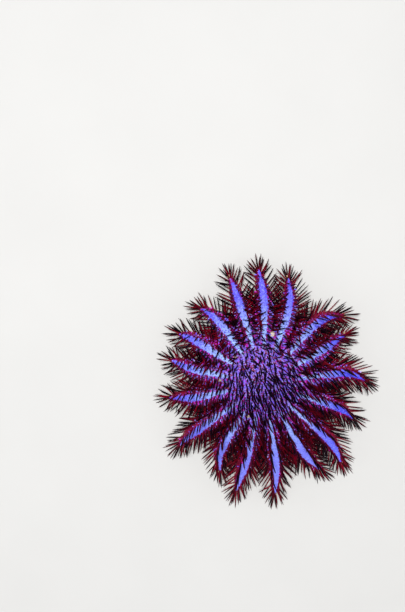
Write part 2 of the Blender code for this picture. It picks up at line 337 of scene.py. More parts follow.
def sole_height(off, height):
    """Height of the underside over the floor, at a distance from the middle of its groove."""
    return SOLE_HEIGHT + GROOVE_UP * height * falling(off, GROOVE_HALF_WIDTH, GROOVE_SLOPE)


def stripe_width(share, widest):
    """Half a bare stripe's width at a share of its arm's reach: narrow by the disc, pointed at the tip."""
    widening = fade(share, STRIPE_NARROW, STRIPE_WIDE)
    pointing = fade(share, STRIPE_POINTING, STRIPE_END)
    return widest * (STRIPE_INNER + (1 - STRIPE_INNER) * widening - STRIPE_POINT * pointing)


PLATE_MARGIN = 0.7
Plate = namedtuple("Plate", "centre radius")
# The sieve plates by azimuth in degrees, distance out in mm and radius in mm, the largest first
SIEVE_PLATES = [
    Plate(polar(out * MM, math.radians(azimuth)), radius)
    for azimuth, out, radius in (
        (80, 60, 3.7), (12, 50, 2.6), (-52, 55, 2.8), (-112, 48, 2.5), (178, 54, 2.7), (138, 47, 2.4)
    )
]


def new_object(name, verts, faces):
    mesh = bpy.data.meshes.new(name)
    mesh.from_pydata(verts, [], faces)
    mesh.update()
    return linked(name, mesh)


def linked(name, data):
    obj = bpy.data.objects.new(name, data)
    bpy.context.scene.collection.objects.link(obj)
    return obj


def bridge(first, second, size):
    """Faces that join two closed rings of the same size, each given by its first vertex."""
    return [(first + i, first + (i + 1) % size, second + (i + 1) % size, second + i) for i in range(size)]


def fan(ring, size, apex):
    return [(ring + i, ring + (i + 1) % size, apex) for i in range(size)]


def stack(rings, first_apex, last_apex):
    """Vertices and faces of a closed form made of rings of the same size between two end points."""
    size = len(rings[0])
    verts = [point for ring in rings for point in ring] + [first_apex, last_apex]
    last = (len(rings) - 1) * size
    faces = fan(0, size, len(verts) - 2)
    for first in range(0, last, size):
        faces += bridge(first, first + size, size)
    return verts, faces + fan(last, size, len(verts) - 1)


def arm_form(index, depth):
    """One arm from inside the disc to its tip."""
    arm = ARMS[index]
    inner = (ARM_INSIDE - 1) * arm.root / (arm.reach - arm.root)
    rings = []
    for station in range(ARM_STATIONS + 1):
        along = inner + (1 - inner) * (1 - (1 - station / ARM_STATIONS) ** STATION_POWER)
        width, height = (size - depth for size in arm_size(index, along))
        side = arm_axes(arm, along)[1]
        ring = []
        for step in range(ARM_SIDES):
            angle = math.tau * step / ARM_SIDES
            across = math.sin(angle)
            if math.cos(angle) >= 0:
                up = FLANK_UP * height + (1 - FLANK_UP) * height * crown(across)
            else:
                low = sole_height(abs(across) * width, height)
                up = low + (FLANK_UP * height - low) * abs(across) ** SOLE_POWER
            ring.append(arm_line(arm, along) + side * (across * width) + UP * (arm_lift(along) + up))
        rings.append(ring)
    tip = arm_line(arm, 1.0) + arm_axes(arm, 1.0)[0] * TIP_ROUND + UP * (TIP_LIFT + TIP_HEIGHT / 2)
    return stack(rings, arm_line(arm, inner) + UP * (ROOT_HEIGHT / 2), tip)


def rim_points(depth):
    """Where the disc's lines end on its rim, with their place across an arm from -1 to 1."""
    points = []
    for index, arm in enumerate(ARMS):
        azimuth = math.radians(arm.azimuth)
        middle = polar(arm.root, azimuth)
        clockwise = Vector((math.sin(azimuth), -math.cos(azimuth), 0.0)) * (root_half_width(index) - depth)
        for column in range(DISC_COLUMNS - 1):
            across = 2 * (column + 0.5) / (DISC_COLUMNS - 1) - 1
            points.append((middle + clockwise * across, across))
        nearer = min(arm.root, ARMS[(index + 1) % COUNT].root)
        points.append((polar(nearer - CLEFT_DEPTH - depth, azimuth - spacing(index) / 2), 1.0))
    return points


def disc_form(depth):
    """The disc with a ridge to each arm and furrows between, and its hollowed underside with the mouth."""
    points = rim_points(depth)
    top, bottom = [], []
    for share in (ring / DISC_RINGS for ring in range(1, DISC_RINGS + 1)):
        dome = ROOT_HEIGHT + (DISC_TOP - ROOT_HEIGHT) * (1 + math.cos(math.pi * share)) / 2 - depth
        furrow = FURROW_DEPTH * float(fade(share, FURROW_FROM, 1))
        high, low = [], []
        for number, (point, across) in enumerate(points):
            flat = DISC_CENTRE.lerp(point, share)
            high.append(flat + UP * (dome - furrow * (1 - crown(across))))
            radius = (flat - DISC_CENTRE).length
            middle = math.radians(ARMS[number // DISC_COLUMNS].azimuth)
            angle = math.atan2(flat.y - DISC_CENTRE.y, flat.x - DISC_CENTRE.x) - middle
            sole = sole_height(abs(radius * math.sin(angle)), ROOT_HEIGHT)
            low.append(flat + UP * max(sole, SOLE_HEIGHT + MOUTH_DEPTH * falling(radius, MOUTH_RADIUS)))
        top.append(high)
        bottom.append(low)
    peak = DISC_CENTRE + UP * (DISC_TOP - depth)
    return stack(top + bottom[::-1], peak, DISC_CENTRE + UP * (SOLE_HEIGHT + MOUTH_DEPTH))


def set_values(mesh, name, values):
    attribute = mesh.attributes.new(name, "FLOAT", "POINT")
    attribute.data.foreach_set("value", np.asarray(values, np.float32))


def read_array(data, key, width=1):
    """One value, or a row of them, of every item of some mesh data."""
    values = np.zeros(len(data) * width, np.float32)
    data.foreach_get(key, values)
    return values if width == 1 else values.reshape(-1, width).astype(float)


def points_of(mesh):
    return read_array(mesh.vertices, "co", 3)


def normals_of(mesh):
    return read_array(mesh.vertex_normals, "vector", 3)


ArmLines = namedtuple("ArmLines", "places ways arms outs")


def arm_lines():
    """Every arm's line from the disc's centre to its tip, as many short steps."""
    rows = []
    for index, arm in enumerate(ARMS):
        for step in range(int((arm.reach + PAST_TIP) / LINE_STEP)):
            out = step * LINE_STEP
            along = (out - arm.root) / (arm.reach - arm.root)
            rows.append((arm_line(arm, along), arm_axes(arm, along)[0], index, out))
    return ArmLines(*(np.array(column) for column in zip(*rows)))


def nearest_on_lines(points, lines):
    """For each point, the step of the arms' lines that is nearest to it, seen from above."""
    nearest = np.zeros(len(points), int)
    for first in range(0, len(points), BATCH):
        apart = points[first : first + BATCH, None, :2] - lines.places[None, :, :2]
        nearest[first : first + BATCH] = np.argmin((apart**2).sum(2), axis=1)
    return nearest


class Surface(namedtuple("Surface", "points normals arm way out across root reach")):
    """Vertices of the skin, each with its arm, that arm's way there, root and reach, and its place on it."""

    @property
    def share(self):
        """Distance out as a share of the arm's reach."""
        return self.out / self.reach

    @property
    def free(self):
        """Share of the arm's free length, which is 0 on the disc."""
        return np.clip((self.out - self.root) / (self.reach - self.root), 0, 1)

    def at(self, chosen):
        return Surface(*(values[chosen] for values in self))


def skin_surface():
    """All vertices of the finished skin."""
    mesh = bpy.data.objects["skin"].data
    lines = arm_lines()
    names = ("line", "out", "across")
    line, out, across = (read_array(mesh.attributes[name].data, "value") for name in names)
    nearest = line.astype(int)
    arm = lines.arms[nearest]
    measures = (lines.ways[nearest], out * MM, across * MM, ARM_ROOTS[arm], ARM_REACHES[arm])
    return Surface(points_of(mesh), normals_of(mesh), arm, *measures)


def skin_tree():
    mesh = bpy.data.objects["skin"].data
    return BVHTree.FromPolygons(points_of(mesh).tolist(), [tuple(face.vertices) for face in mesh.polygons])


def unwrapped(up, arm, out, across):
    """Places on an unwrap of the skin, which has a strip for each arm, from its sole over its top."""
    half = np.array([root_half_width(index) for index in range(COUNT)])[arm]
    round_top = np.clip(across / half, -UNWRAP_MOST, UNWRAP_MOST) * UNWRAP_ROUND
    turn = np.where(up >= 0, round_top, np.sign(across) * 0.5 - round_top)
    run = UNWRAP_MARGIN + (1 - 2 * UNWRAP_MARGIN) * np.clip(out / UNWRAP_LENGTH, 0, 1)
    return np.stack([(arm + 0.5 + UNWRAP_WIDTH * turn) / COUNT, run], axis=1)


def patches_at(spots):
    return unwrapped(spots.normals[:, 2], spots.arm, spots.out, spots.across)


def under_patch(index, out, across):
    """The place on the unwrap of something on the underside."""
    return unwrapped(*(np.array([value]) for value in (-1.0, index, out, across)))[0]


def on_top(surface, least_up):
    """Whether each vertex faces up enough and lies on the animal's back or flanks, not in its underside."""
    back = (surface.points[:, 2] > BACK_HEIGHT) | (surface.out > BACK_OUT)
    return (surface.normals[:, 2] > least_up) & back & (surface.points[:, 2] > LOWEST_ROOT)


def near_plate(surface, plate, margin):
    """Whether each vertex on top lies on a sieve plate, widened by a margin in mm."""
    apart = np.linalg.norm(surface.points[:, :2] - np.array(plate.centre)[:2], axis=1)
    return (apart < (plate.radius + margin) * MM) & (surface.normals[:, 2] > 0)


def off_plates(surface):
    return ~np.any([near_plate(surface, plate, PLATE_MARGIN) for plate in SIEVE_PLATES], axis=0)


def off_stripe(surface, marks, margin):
    """Whether each vertex lies outside the bare stripes, widened by a margin."""
    half = stripe_width(surface.share, marks.stripe_half_width)
    return (surface.out <= marks.stripe_from) | (np.abs(surface.across) >= half + margin)


def bare_back(surface, marks, least_up, margin):
    """Whether each vertex is on top and clear of the stripes, by a margin, and of the sieve plates."""
    return on_top(surface, least_up) & off_stripe(surface, marks, margin) & off_plates(surface)


def spread_over(surface, wanted, gap, seed, first=()):
    """Vertices that keep at least a gap between them: those listed first if they fit, then wanted ones."""
    draw = random.Random(seed)
    order = np.flatnonzero(wanted).tolist()
    draw.shuffle(order)
    points = surface.points.tolist()
    around = list(itertools.product((-1, 0, 1), repeat=3))
    cells = {}
    chosen = []
    for vertex in [*first, *order]:
        x, y, z = points[vertex]
        i, j, k = int(x // gap), int(y // gap), int(z // gap)
        near = (point for di, dj, dk in around for point in cells.get((i + di, j + dj, k + dk), ()))
        if not any((a - x) ** 2 + (b - y) ** 2 + (c - z) ** 2 < gap * gap for a, b, c in near):
            cells.setdefault((i, j, k), []).append((x, y, z))
            chosen.append(vertex)
    return np.array(chosen, int)


def unit(vectors):
    return vectors / np.maximum(np.linalg.norm(vectors, axis=-1, keepdims=True), 1e-9)


def dress(obj, material):
    """Gives a piece its finish and sets it on the body."""
    obj.data.materials.clear()
    obj.data.materials.append(material)
    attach(obj, "root")


# A tapered form: its sides, and its shares of the length and of the radius from foot to tip
Form = namedtuple("Form", "sides profile")
SPINE = Form(
    6,
    (
        (-0.06, 1.35), (0, 1.45), (0.04, 1.3), (0.075, 0.95), (0.25, 1),
        (0.5, 0.96), (0.75, 0.78), (0.92, 0.42), (1, 0.06),
    ),
)
TUFT = Form(4, ((-0.25, 0.8), (0.3, 1), (0.75, 0.85), (1, 0.35)))
BEAD = Form(6, ((-0.4, 0.9), (0.25, 1), (0.7, 0.75), (1, 0.25)))
FOOT = Form(8, ((-0.2, 0.9), (0.45, 0.8), (0.8, 0.7), (0.86, 1.4), (0.95, 1.55), (1, 1.35), (0.93, 0.55)))
PEG = Form(8, ((-0.15, 1), (0.3, 1), (0.85, 0.95), (1, 0.6)))
SOLE_PEG = Form(6, PEG.profile)
TENTACLE = Form(8, ((-0.3, 1), (0.2, 1.05), (0.6, 0.8), (0.9, 0.5), (1, 0.2)))


class Growth(namedtuple("Growth", "roots ways lengths radii patches tones bends")):
    """Where each of many tapered forms starts, its way, sizes, place on the unwrap, tone and bend."""

    def part(self, mask):
        return Growth(*(values[mask] for values in self))


def gathered(rows, draw):
    """Growth from rows of root, way, length, radius and patch, with random tones and no bends."""
    columns = [np.array(column) for column in zip(*rows)]
    tones = np.array([draw.random() for _ in rows])
    return Growth(*columns, tones, np.zeros((len(rows), 3)))


def sprouts(name, form, growth, finish):
    """One piece of many tapered forms, each a stack of rings round its way that is closed at both ends."""
    count = len(growth.roots)
    ways = unit(growth.ways)
    helper = np.where(np.abs(ways[:, 2:]) < 0.9, [[0.0, 0.0, 1.0]], [[1.0, 0.0, 0.0]])
    x_axis = unit(np.cross(ways, helper))
    y_axis = np.cross(ways, x_axis)
    shares, wide = np.array(form.profile, float).T
    ends = shares[[0, -1]]
    turns = np.append(np.tile(np.arange(form.sides) * math.tau / form.sides, len(shares)), [0.0, 0.0])
    last = (len(shares) - 1) * form.sides
    shares = np.append(np.repeat(shares, form.sides), ends)
    wide = np.append(np.repeat(wide, form.sides), [0.0, 0.0])
    along = np.clip(shares, 0, 1)
    size = len(shares)
    lengths, radii = growth.lengths[:, None, None], growth.radii[:, None, None]
    verts = (
        growth.roots[:, None]
        + ways[:, None] * (shares[None, :, None] * lengths)
        + x_axis[:, None] * (np.cos(turns) * wide)[None, :, None] * radii
        + y_axis[:, None] * (np.sin(turns) * wide)[None, :, None] * radii
        + growth.bends[:, None] * (along**2)[None, :, None] * lengths
    )
    quads, faces = [], []
    for ring in range(0, last, form.sides):
        quads += bridge(ring, ring + form.sides, form.sides)
    caps = [(b, a, apex) for a, b, apex in fan(0, form.sides, size - 2)] + fan(last, form.sides, size - 1)
    starts = np.arange(count)[:, None, None] * size
    for kind in (quads, caps):
        faces += (np.array(kind) + starts).reshape(-1, len(kind[0])).tolist()
    obj = new_object(name, verts.reshape(-1, 3), faces)
    mesh = obj.data
    mesh.shade_smooth()
    set_values(mesh, "along", np.tile(along, count))
    set_values(mesh, "tone", np.repeat(growth.tones, size))
    local = np.stack([turns / math.tau - 0.5, along - 0.5], axis=1) * PATCH
    spots = (growth.patches[:, None] + local).reshape(-1, 2)
    corners = np.zeros(len(mesh.loops), np.int32)
    mesh.loops.foreach_get("vertex_index", corners)
    layer = mesh.uv_layers.new(name="OFBake")
    layer.data.foreach_set("uv", spots[corners].astype(np.float32).ravel())
    dress(obj, finish)


class Nodes:
    """Short ways to add linked nodes to a node tree."""

    def __init__(self, tree):
        self.tree = tree

    def add(self, kind, sockets=None, **settings):
        node = self.tree.nodes.new(kind)
        for key, value in settings.items():
            setattr(node, key, value)
        for key, value in (sockets or {}).items():
            self.put(node.inputs[key], value)
        return node

    def put(self, socket, value):
        if isinstance(value, bpy.types.NodeSocket):
            self.tree.links.new(value, socket)
        else:
            socket.default_value = value

    def ramp(self, value, low, high, bottom=0.0, top=1.0):
        """Turns a value between two limits into a smooth share."""
        sockets = {"Value": value, "From Min": low, "From Max": high, "To Min": bottom, "To Max": top}
        return self.add("ShaderNodeMapRange", sockets, interpolation_type="SMOOTHSTEP").outputs["Result"]


class Finish(Nodes):
    """A new material and short ways to build it."""

    def __init__(self, name):
        self.material = bpy.data.materials.new(name)
        self.material.use_nodes = True
        super().__init__(self.material.node_tree)
        self.shader = self.tree.nodes["Principled BSDF"]
        self.place = self.add("ShaderNodeTexCoord").outputs["Object"]

    def attribute(self, name):
        return self.add("ShaderNodeAttribute", attribute_name=name).outputs["Fac"]

    def noise(self, size, detail=3.0):
        """Soft random values, with grains of about this size in metres."""
        sockets = {"Vector": self.place, "Scale": 1 / size, "Detail": detail}
        return self.add("ShaderNodeTexNoise", sockets).outputs["Fac"]

    def cells(self, size):
        """Distance to the nearest of many scattered points, this far apart."""
        sockets = {"Vector": self.place, "Scale": 1 / size}
        return self.add("ShaderNodeTexVoronoi", sockets).outputs["Distance"]

    def math(self, operation, a, b=0.0):
        return self.add("ShaderNodeMath", {0: a, 1: b}, operation=operation).outputs[0]

    def mix(self, share, first, second):
        node = self.add("ShaderNodeMix", data_type="RGBA")
        for socket, value in ((0, share), (6, first), (7, second)):
            self.put(node.inputs[socket], value)
        return node.outputs[2]

    def blend(self, value, low, high, first, second, most=1.0):
        """From one colour to another as a value goes from one limit to the other."""
        return self.mix(self.ramp(value, low, high, 0.0, most), first, second)

    def bump(self, height, depth, strength=1.0):
        node = self.add("ShaderNodeBump", {"Height": height, "Distance": depth, "Strength": strength})
        self.put(self.shader.inputs["Normal"], node.outputs["Normal"])

    def done(self, colour, roughness, **sockets):
        self.put(self.shader.inputs["Base Color"], colour)
        self.put(self.shader.inputs["Roughness"], roughness)
        for key, value in sockets.items():
            self.shader.inputs[key.replace("_", " ")].default_value = value
        return self.material


STRIPE_SOUTH = (0.3, 0.36, 1.0, 1.0)
STRIPE_EAST = (0.05, 0.06, 0.9, 1.0)
STRIPE_SPECK = (0.4, 0.5, 1.0, 1.0)
FLANK_SHADE = (0.03, 0.001, 0.008, 1.0)
SOLE_SHADE = (0.25, 0.1, 0.12, 1.0)


def skin_finish(marks):
    """Bare violet stripes over wine red flanks, a mottled disc whose near black mottles are partly painted
    shade, and a pale sole, with fine pores.

    The distances out and across that the skin has stored are in mm.
    """
    f = Finish("starfish_skin")
    out, up, share = f.attribute("out"), f.attribute("up"), f.attribute("reach")
    # How far a place lies beside a stripe, whose edges and start are ragged
    ragged = f.math("MULTIPLY", f.math("SUBTRACT", f.noise(3.0 * MM, 4.0), 0.5), 7.5)
    ragged_out = f.math("ADD", out, f.math("MULTIPLY", ragged, 3.0))
    full = marks.stripe_half_width / MM
    widening = f.ramp(share, STRIPE_NARROW, STRIPE_WIDE, STRIPE_INNER * full, full)
    pointing = f.ramp(share, STRIPE_POINTING, STRIPE_END, 0.0, STRIPE_POINT * full)
    half = f.math("SUBTRACT", widening, pointing)
    off = f.math("ADD", f.math("ABSOLUTE", f.attribute("across")), ragged)
    beside = f.math("SUBTRACT", off, half)
    start = marks.stripe_from / MM
    begun = f.ramp(ragged_out, start - 6, start + 8)
    stripe = f.math("MULTIPLY", f.ramp(beside, 0.35, -0.35), begun)
    fringe = f.math("MULTIPLY", f.ramp(beside, 3.2, 0.2), begun)
    # The stripe is paler by the disc, clouded and specked, lighter down the picture and deeper to its right
    spot = f.add("ShaderNodeSeparateXYZ", {0: f.place}).outputs
    bare = f.blend(ragged_out, 112, 56, marks.stripe, marks.stripe_near)
    bare = f.blend(f.noise(2.2 * MM, 4.0), 0.52, 0.36, bare, marks.stripe_deep, 0.85)
    bare = f.blend(spot["Y"], -10 * MM, -110 * MM, bare, STRIPE_SOUTH, 0.45)
    bare = f.blend(spot["X"], 50 * MM, 110 * MM, bare, STRIPE_EAST, 0.6)
    bare = f.blend(f.noise(1.9 * MM), 0.5, 0.68, bare, STRIPE_SPECK, 0.4)
    # The disc's mottles give way to the flanks further out, and the sole begins where the skin turns down
    # Painted shade: the near black mottles stand in partly for the shade between the disc's spines and beads,
    # and the subtraction below spreads them towards the middle as painted shade of its crowded spines
    grains = f.math("SUBTRACT", f.noise(1.9 * MM), f.ramp(out, 34, 6, 0.0, 0.055))
    disc = f.blend(grains, 0.36, 0.43, marks.disc_dark_and_shade, marks.disc_light)
    disc = f.blend(f.noise(4 * MM, 2.0), 0.45, 0.65, disc, marks.flank)
    flank = f.blend(f.noise(2.4 * MM, 4.0), 0.3, 0.7, marks.flank, FLANK_SHADE)
    flank = f.mix(fringe, flank, marks.edge)
    top = f.mix(stripe, f.blend(out, 42, 74, disc, flank), bare)
    sole = f.blend(f.noise(1.6 * MM), 0.3, 0.7, marks.sole, SOLE_SHADE)
    shade = f.blend(f.math("ADD", up, f.math("MULTIPLY", ragged, 0.06)), -0.15, -0.5, top, sole)
    pores = f.ramp(f.cells(0.9 * MM), 0.05, 0.5)
    f.bump(f.math("ADD", pores, f.noise(0.5 * MM, 4.0)), 0.12 * MM, 0.6)
    return f.done(shade, f.ramp(stripe, 0.0, 1.0, 0.46, 0.58), Specular_IOR_Level=0.35)


SPINE_RED = (0.19, 0.001, 0.012, 1.0)
SPINE_POINT = (0.1, 0.006, 0.014, 1.0)
COLLAR_VIOLET = (0.04, 0.003, 0.09, 1.0)
COLLAR_RED = (0.13, 0.002, 0.022, 1.0)


def spine_finish(spines):
    """Near black maroon, wine red in the lower half of some, with a magenta, violet or red collar."""
    f = Finish("starfish_spine")
    along, tone, grain = f.attribute("along"), f.attribute("tone"), f.noise(0.8 * MM)
    red = f.math("MULTIPLY", f.ramp(tone, 0.3, 0.85), f.ramp(f.math("ADD", along, grain), 1.55, 0.8))
    shaft = f.mix(red, spines.colour, SPINE_RED)
    out = f.add("ShaderNodeVectorMath", {0: f.place, 1: DISC_CENTRE}, operation="DISTANCE").outputs["Value"]
    collar = f.blend(tone, 0.3, 0.05, spines.foot_colour, COLLAR_VIOLET)
    collar = f.blend(out, 94 * MM, 68 * MM, COLLAR_RED, collar)
    shade = f.blend(along, 0.26, 0.06, shaft, collar)
    shade = f.blend(along, 0.88, 1.0, shade, SPINE_POINT, 0.5)
    f.bump(f.noise(0.35 * MM), 0.06 * MM, 0.5)
    return f.done(shade, f.ramp(grain, 0.3, 0.7, 0.42, 0.55), Specular_IOR_Level=0.1)


TUFT_DARK = (0.05, 0.001, 0.01, 1.0)
TUFT_VIOLET = (0.15, 0.007, 0.2, 1.0)
TUFT_TIP = (0.42, 0.006, 0.08, 1.0)
TUFT_VIOLET_TIP = (0.6, 0.2, 1.0, 1.0)


def tuft_finish(coat):
    """Wet crimson fingers, darker at the foot, and violet ones with a light tip."""
    f = Finish("starfish_gill_tuft")
    tone = f.attribute("tone")
    foot = f.blend(tone, 0.2, 0.85, TUFT_DARK, coat.tuft_colour)
    foot = f.blend(tone, 0.9, 1.0, foot, TUFT_VIOLET)
    tip = f.blend(tone, 0.9, 1.0, TUFT_TIP, TUFT_VIOLET_TIP)
    shade = f.blend(f.attribute("along"), 0.35, 1.0, foot, tip, 0.45)
    f.bump(f.noise(0.3 * MM, 2.0), 0.05 * MM, 0.4)
    return f.done(shade, f.ramp(f.noise(0.9 * MM, 2.0), 0.3, 0.7, 0.38, 0.52), Specular_IOR_Level=0.2)


BEAD_MAGENTA = (0.68, 0.03, 0.6, 1.0)
BEAD_BLUE = (0.2, 0.12, 1.0, 1.0)
BEAD_PALE = (0.5, 0.42, 1.0, 1.0)
BEAD_SHADE = (0.08, 0.02, 0.35, 1.0)


def bead_finish(coat):
    """Beads from magenta over blue to pale violet."""
    f = Finish("starfish_bead")
    tone = f.attribute("tone")
    shade = f.blend(tone, 0.16, 0.28, BEAD_MAGENTA, BEAD_BLUE)
    shade = f.blend(tone, 0.25, 0.6, shade, coat.bead_colour)
    shade = f.blend(tone, 0.66, 0.84, shade, BEAD_PALE)
    shade = f.blend(f.noise(0.6 * MM), 0.4, 0.8, shade, BEAD_SHADE, 0.15)
    f.bump(f.noise(0.25 * MM, 2.0), 0.05 * MM, 0.5)
    return f.done(shade, 0.42, Specular_IOR_Level=0.4)


FLESH_BROWN = (0.6, 0.3, 0.14, 1.0)
SUCKER = (0.85, 0.76, 0.55, 1.0)


def foot_finish(coat):
    """Wet ochre flesh with fine rings, paler at the sucker."""
    f = Finish("starfish_tube_foot")
    flesh = f.blend(f.attribute("tone"), 0.0, 1.0, coat.foot_colour, FLESH_BROWN)
    shade = f.blend(f.attribute("along"), 0.7, 0.95, flesh, SUCKER)
    rings = f.add("ShaderNodeTexWave", {"Vector": f.place, "Scale": 900.0, "Distortion": 3.0})
    f.bump(rings.outputs["Fac"], 0.05 * MM, 0.5)
    return f.done(shade, 0.35, Coat_Weight=0.25)


PEG_OCHRE = (0.5, 0.26, 0.13, 1.0)
PEG_RED = (0.3, 0.07, 0.06, 1.0)


def peg_finish(coat):
    """Blunt ochre to wine red pegs."""
    f = Finish("starfish_spinelet")
    peg = f.blend(f.attribute("tone"), 0.2, 0.9, PEG_OCHRE, PEG_RED)
    shade = f.blend(f.attribute("along"), 0.6, 1.0, peg, coat.foot_colour, 0.7)
    f.bump(f.noise(0.3 * MM), 0.06 * MM, 0.5)
    return f.done(shade, f.ramp(f.noise(0.8 * MM, 2.0), 0.3, 0.7, 0.42, 0.6))


CHALK = (0.72, 0.62, 0.47, 1.0)
CHALK_LIGHT = (0.85, 0.8, 0.68, 1.0)
SLIT = (0.2, 0.09, 0.1, 1.0)


def sieve_finish():
    """Chalky cream with dark winding slits."""
    f = Finish("starfish_sieve_plate")
    chalk = f.mix(f.noise(0.8 * MM), CHALK, CHALK_LIGHT)
    shade = f.blend(f.attribute("slit"), 0.35, 0.8, chalk, SLIT)
    f.bump(f.noise(0.25 * MM), 0.05 * MM, 0.6)
    return f.done(shade, 0.65)


def keep_largest_surface(mesh):
    """Drops every loose surface of a mesh but the one with the most faces."""
    shape = bmesh.new()
    shape.from_mesh(mesh)
    left = set(shape.faces)
    surfaces = []
    while left:
        front = [left.pop()]
        surface = set(front)
        while front:
            near = {face for edge in front.pop().edges for face in edge.link_faces} - surface
            surface |= near
            front += near
        left -= surface
        surfaces.append(surface)
    largest = max(surfaces, key=len)
    spare = [face for surface in surfaces if surface is not largest for face in surface]
    bmesh.ops.delete(shape, geom=spare, context="FACES")
    shape.to_mesh(mesh)
    shape.free()


class STARFISH_OT_skin(bpy.types.Operator):
    """Makes the one continuous skin over the disc and the arms"""

    bl_idname = "starfish.skin"
    bl_label = "Skin"

    def execute(self, context):
        body = context.scene.starfish_body
        verts, faces = disc_form(body.skin_depth)
        for index in range(COUNT):
            arm_verts, arm_faces = arm_form(index, body.skin_depth)
            faces += [tuple(len(verts) + i for i in face) for face in arm_faces]
            verts += arm_verts
        skin = new_object("skin", verts, faces)
        shape = bmesh.new()
        shape.from_mesh(skin.data)
        bmesh.ops.recalc_face_normals(shape, faces=shape.faces)
        shape.to_mesh(skin.data)
        shape.free()
        remesh = skin.modifiers.new("fuse", "REMESH")
        remesh.mode = "VOXEL"
        remesh.voxel_size = body.voxel
        smooth = skin.modifiers.new("smooth", "SMOOTH")
        smooth.iterations = body.smoothing
        context.view_layer.objects.active = skin
        for modifier in ("fuse", "smooth"):
            bpy.ops.object.modifier_apply(modifier=modifier)
        keep_largest_surface(skin.data)
        self.relief(skin.data, body.wrinkle)
        self.measure(skin.data)
        skin.data.shade_smooth()
        dress(skin, skin_finish(context.scene.starfish_marks))
        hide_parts(*NODES)
        return {"FINISHED"}

    def relief(self, mesh, height):
        """Raises low folds and small swellings all over the skin."""
        points, normals = points_of(mesh), normals_of(mesh)
        spots = [Vector(point) for point in points]
        folds = [noise.noise(spot * FOLDS) + PIMPLE_SHARE * noise.noise(spot * PIMPLES) for spot in spots]
        moved = points + normals * (np.array(folds)[:, None] - RELIEF_MIDDLE) * height
        mesh.vertices.foreach_set("co", moved.astype(np.float32).ravel())
        mesh.update()

    def measure(self, mesh):
        """Stores where each vertex is on the animal, for the markings. Distances are in mm."""
        points = points_of(mesh)
        lines = arm_lines()
        nearest = nearest_on_lines(points, lines)
        way = lines.ways[nearest]
        offset = points - lines.places[nearest]
        out = lines.outs[nearest] + (offset * way).sum(1)
        set_values(mesh, "line", nearest)
        set_values(mesh, "across", (way[:, 0] * offset[:, 1] - way[:, 1] * offset[:, 0]) / MM)
        set_values(mesh, "out", out / MM)
        set_values(mesh, "reach", out / ARM_REACHES[lines.arms[nearest]])
        set_values(mesh, "up", normals_of(mesh)[:, 2])


# Where along an arm its stripe parts the spines, and how near it they stand in a kerb row and on the flank
SPINY_END = 6 * MM
STRIPED_TO = 0.985
STRIPE_CLEAR = 0.2 * MM
KERB_WIDTH = 1.6 * MM
FLANK_FROM = 3.5 * MM
# How far down the skin may face under spines, and which spines belong to the middle and to the disc
SPINES_LEAST_UP = -0.25
CENTRAL_LEAST = 0.05
DISC_SHARE = 0.8
PLACE_SEEDS = (11, 14, 15)
SPINE_SEED = 12
# The least and greatest lengths and radii of the spines, as shares of the full ones
SPINE_LENGTHS = (0.88, 1.08)
SPINE_RADII = (0.85, 1.12)
# Limits between which something sets in, with nothing of it at the first and all of it at the second:
# distances out, then the way up the picture, the skin's upward share, and distances from stripe and floor
CENTRAL = (60 * MM, 36 * MM)
MIDDLE = (32 * MM, 8 * MM)
TANGLED = (85 * MM, 65 * MM)
SWAYING = (45 * MM, 75 * MM)
UPPER_SIDE = (-10 * MM, 25 * MM)
STEEP = (0.9, 0.15)
BESIDE_STRIPE = (0.8 * MM, 4 * MM)
ABOVE_SOLE = (4 * MM, 10 * MM)
# How a spine leans along its arm at the disc, and how much more at the tip, on top and besides on the flank
TOP_LEAN = (0.05, 0.2)
FLANK_LEAN = (0.45, 0.75)
# How much of the skin's own way and of straight up is in a top spine's way, and how loosely all scatter
TOP_NORMAL = 0.12
TOP_UPRIGHT = 0.85
LOOSE = 0.07
LOOSE_UPPER = 0.08
# How much of the sway is left near the disc, and how much is taken off on arms that run down the picture
SWAY_LEAST = 0.35
SWAY_SOUTH = 0.7
LEAST_RISE = 0.05
# The length of the lowest spines, and how spines get shorter, thinner and darker at the tips and inwards
LOW_SPINE = 0.72
TIP_SHORTER = 0.14
TIP_THINNER = 0.2
CENTRAL_THINNER = 0.16
CENTRAL_DARKER = 0.65
FLOOR_CLEAR = 0.7 * MM
# How spines are turned up until they pass a neighbouring arm: how near they may come, and where that is asked
CLEAR_GAP = 1.2 * MM
CLEAR_STEP = 0.22
CLEAR_TRIES = 14
CLEAR_SHARES = (0.5, 0.75, 1.0)
# How much of the largest sieve plate's radius no spine hides from the camera
PLATE_VIEW = 0.8
# The spines round an arm's end: how far each turns from the arm's way and how far it rises, in degrees
TIP_FAN = (
    (-5, 8), (-16, 13), (9, 15), (21, 9), (-28, 8), (35, 13), (-40, 14), (50, 10),
    (-52, 9), (-9, 33), (14, 36), (-30, 38), (34, 33), (-48, 32), (52, 35),
)
# The fan's jitter and widest turn in degrees, where its spines leave the arm's end, and their sizes
TIP_FAN_JITTER = 6
TIP_FAN_WIDEST = 75
TIP_FAN_DEPTH = 15 * MM
TIP_FAN_END = 0.99
TIP_FAN_UP = 0.3
TIP_FAN_CLIMB = 0.5
TIP_FAN_ASIDE = 0.55
TIP_FAN_PATCH = 0.03 * MM
TIP_FAN_SEED = 13
TIP_LENGTH = 0.84
TIP_LENGTHS = (0.85, 1.05)
TIP_RADII = (0.8, 1.0)
TIP_BEND = 0.5


def lifted_clear(roots, normals, ways, lengths):
    """Turns spines that would run into the skin of a neighbouring arm upwards until they pass it."""
    tree = skin_tree()
    clear = []
    for root, normal, way, length in zip(roots, normals, ways, lengths):
        start = Vector(root) + Vector(normal) * CLEAR_GAP
        aim = Vector(way)
        for _ in range(CLEAR_TRIES):
            gaps = (tree.find_nearest(start + aim * (length * share))[3] for share in CLEAR_SHARES)
            if not tree.ray_cast(start, aim, length)[0] and min(gaps) > CLEAR_GAP:
                break
            aim = (aim + UP * CLEAR_STEP).normalized()
        clear.append(aim)
    return np.array(clear)


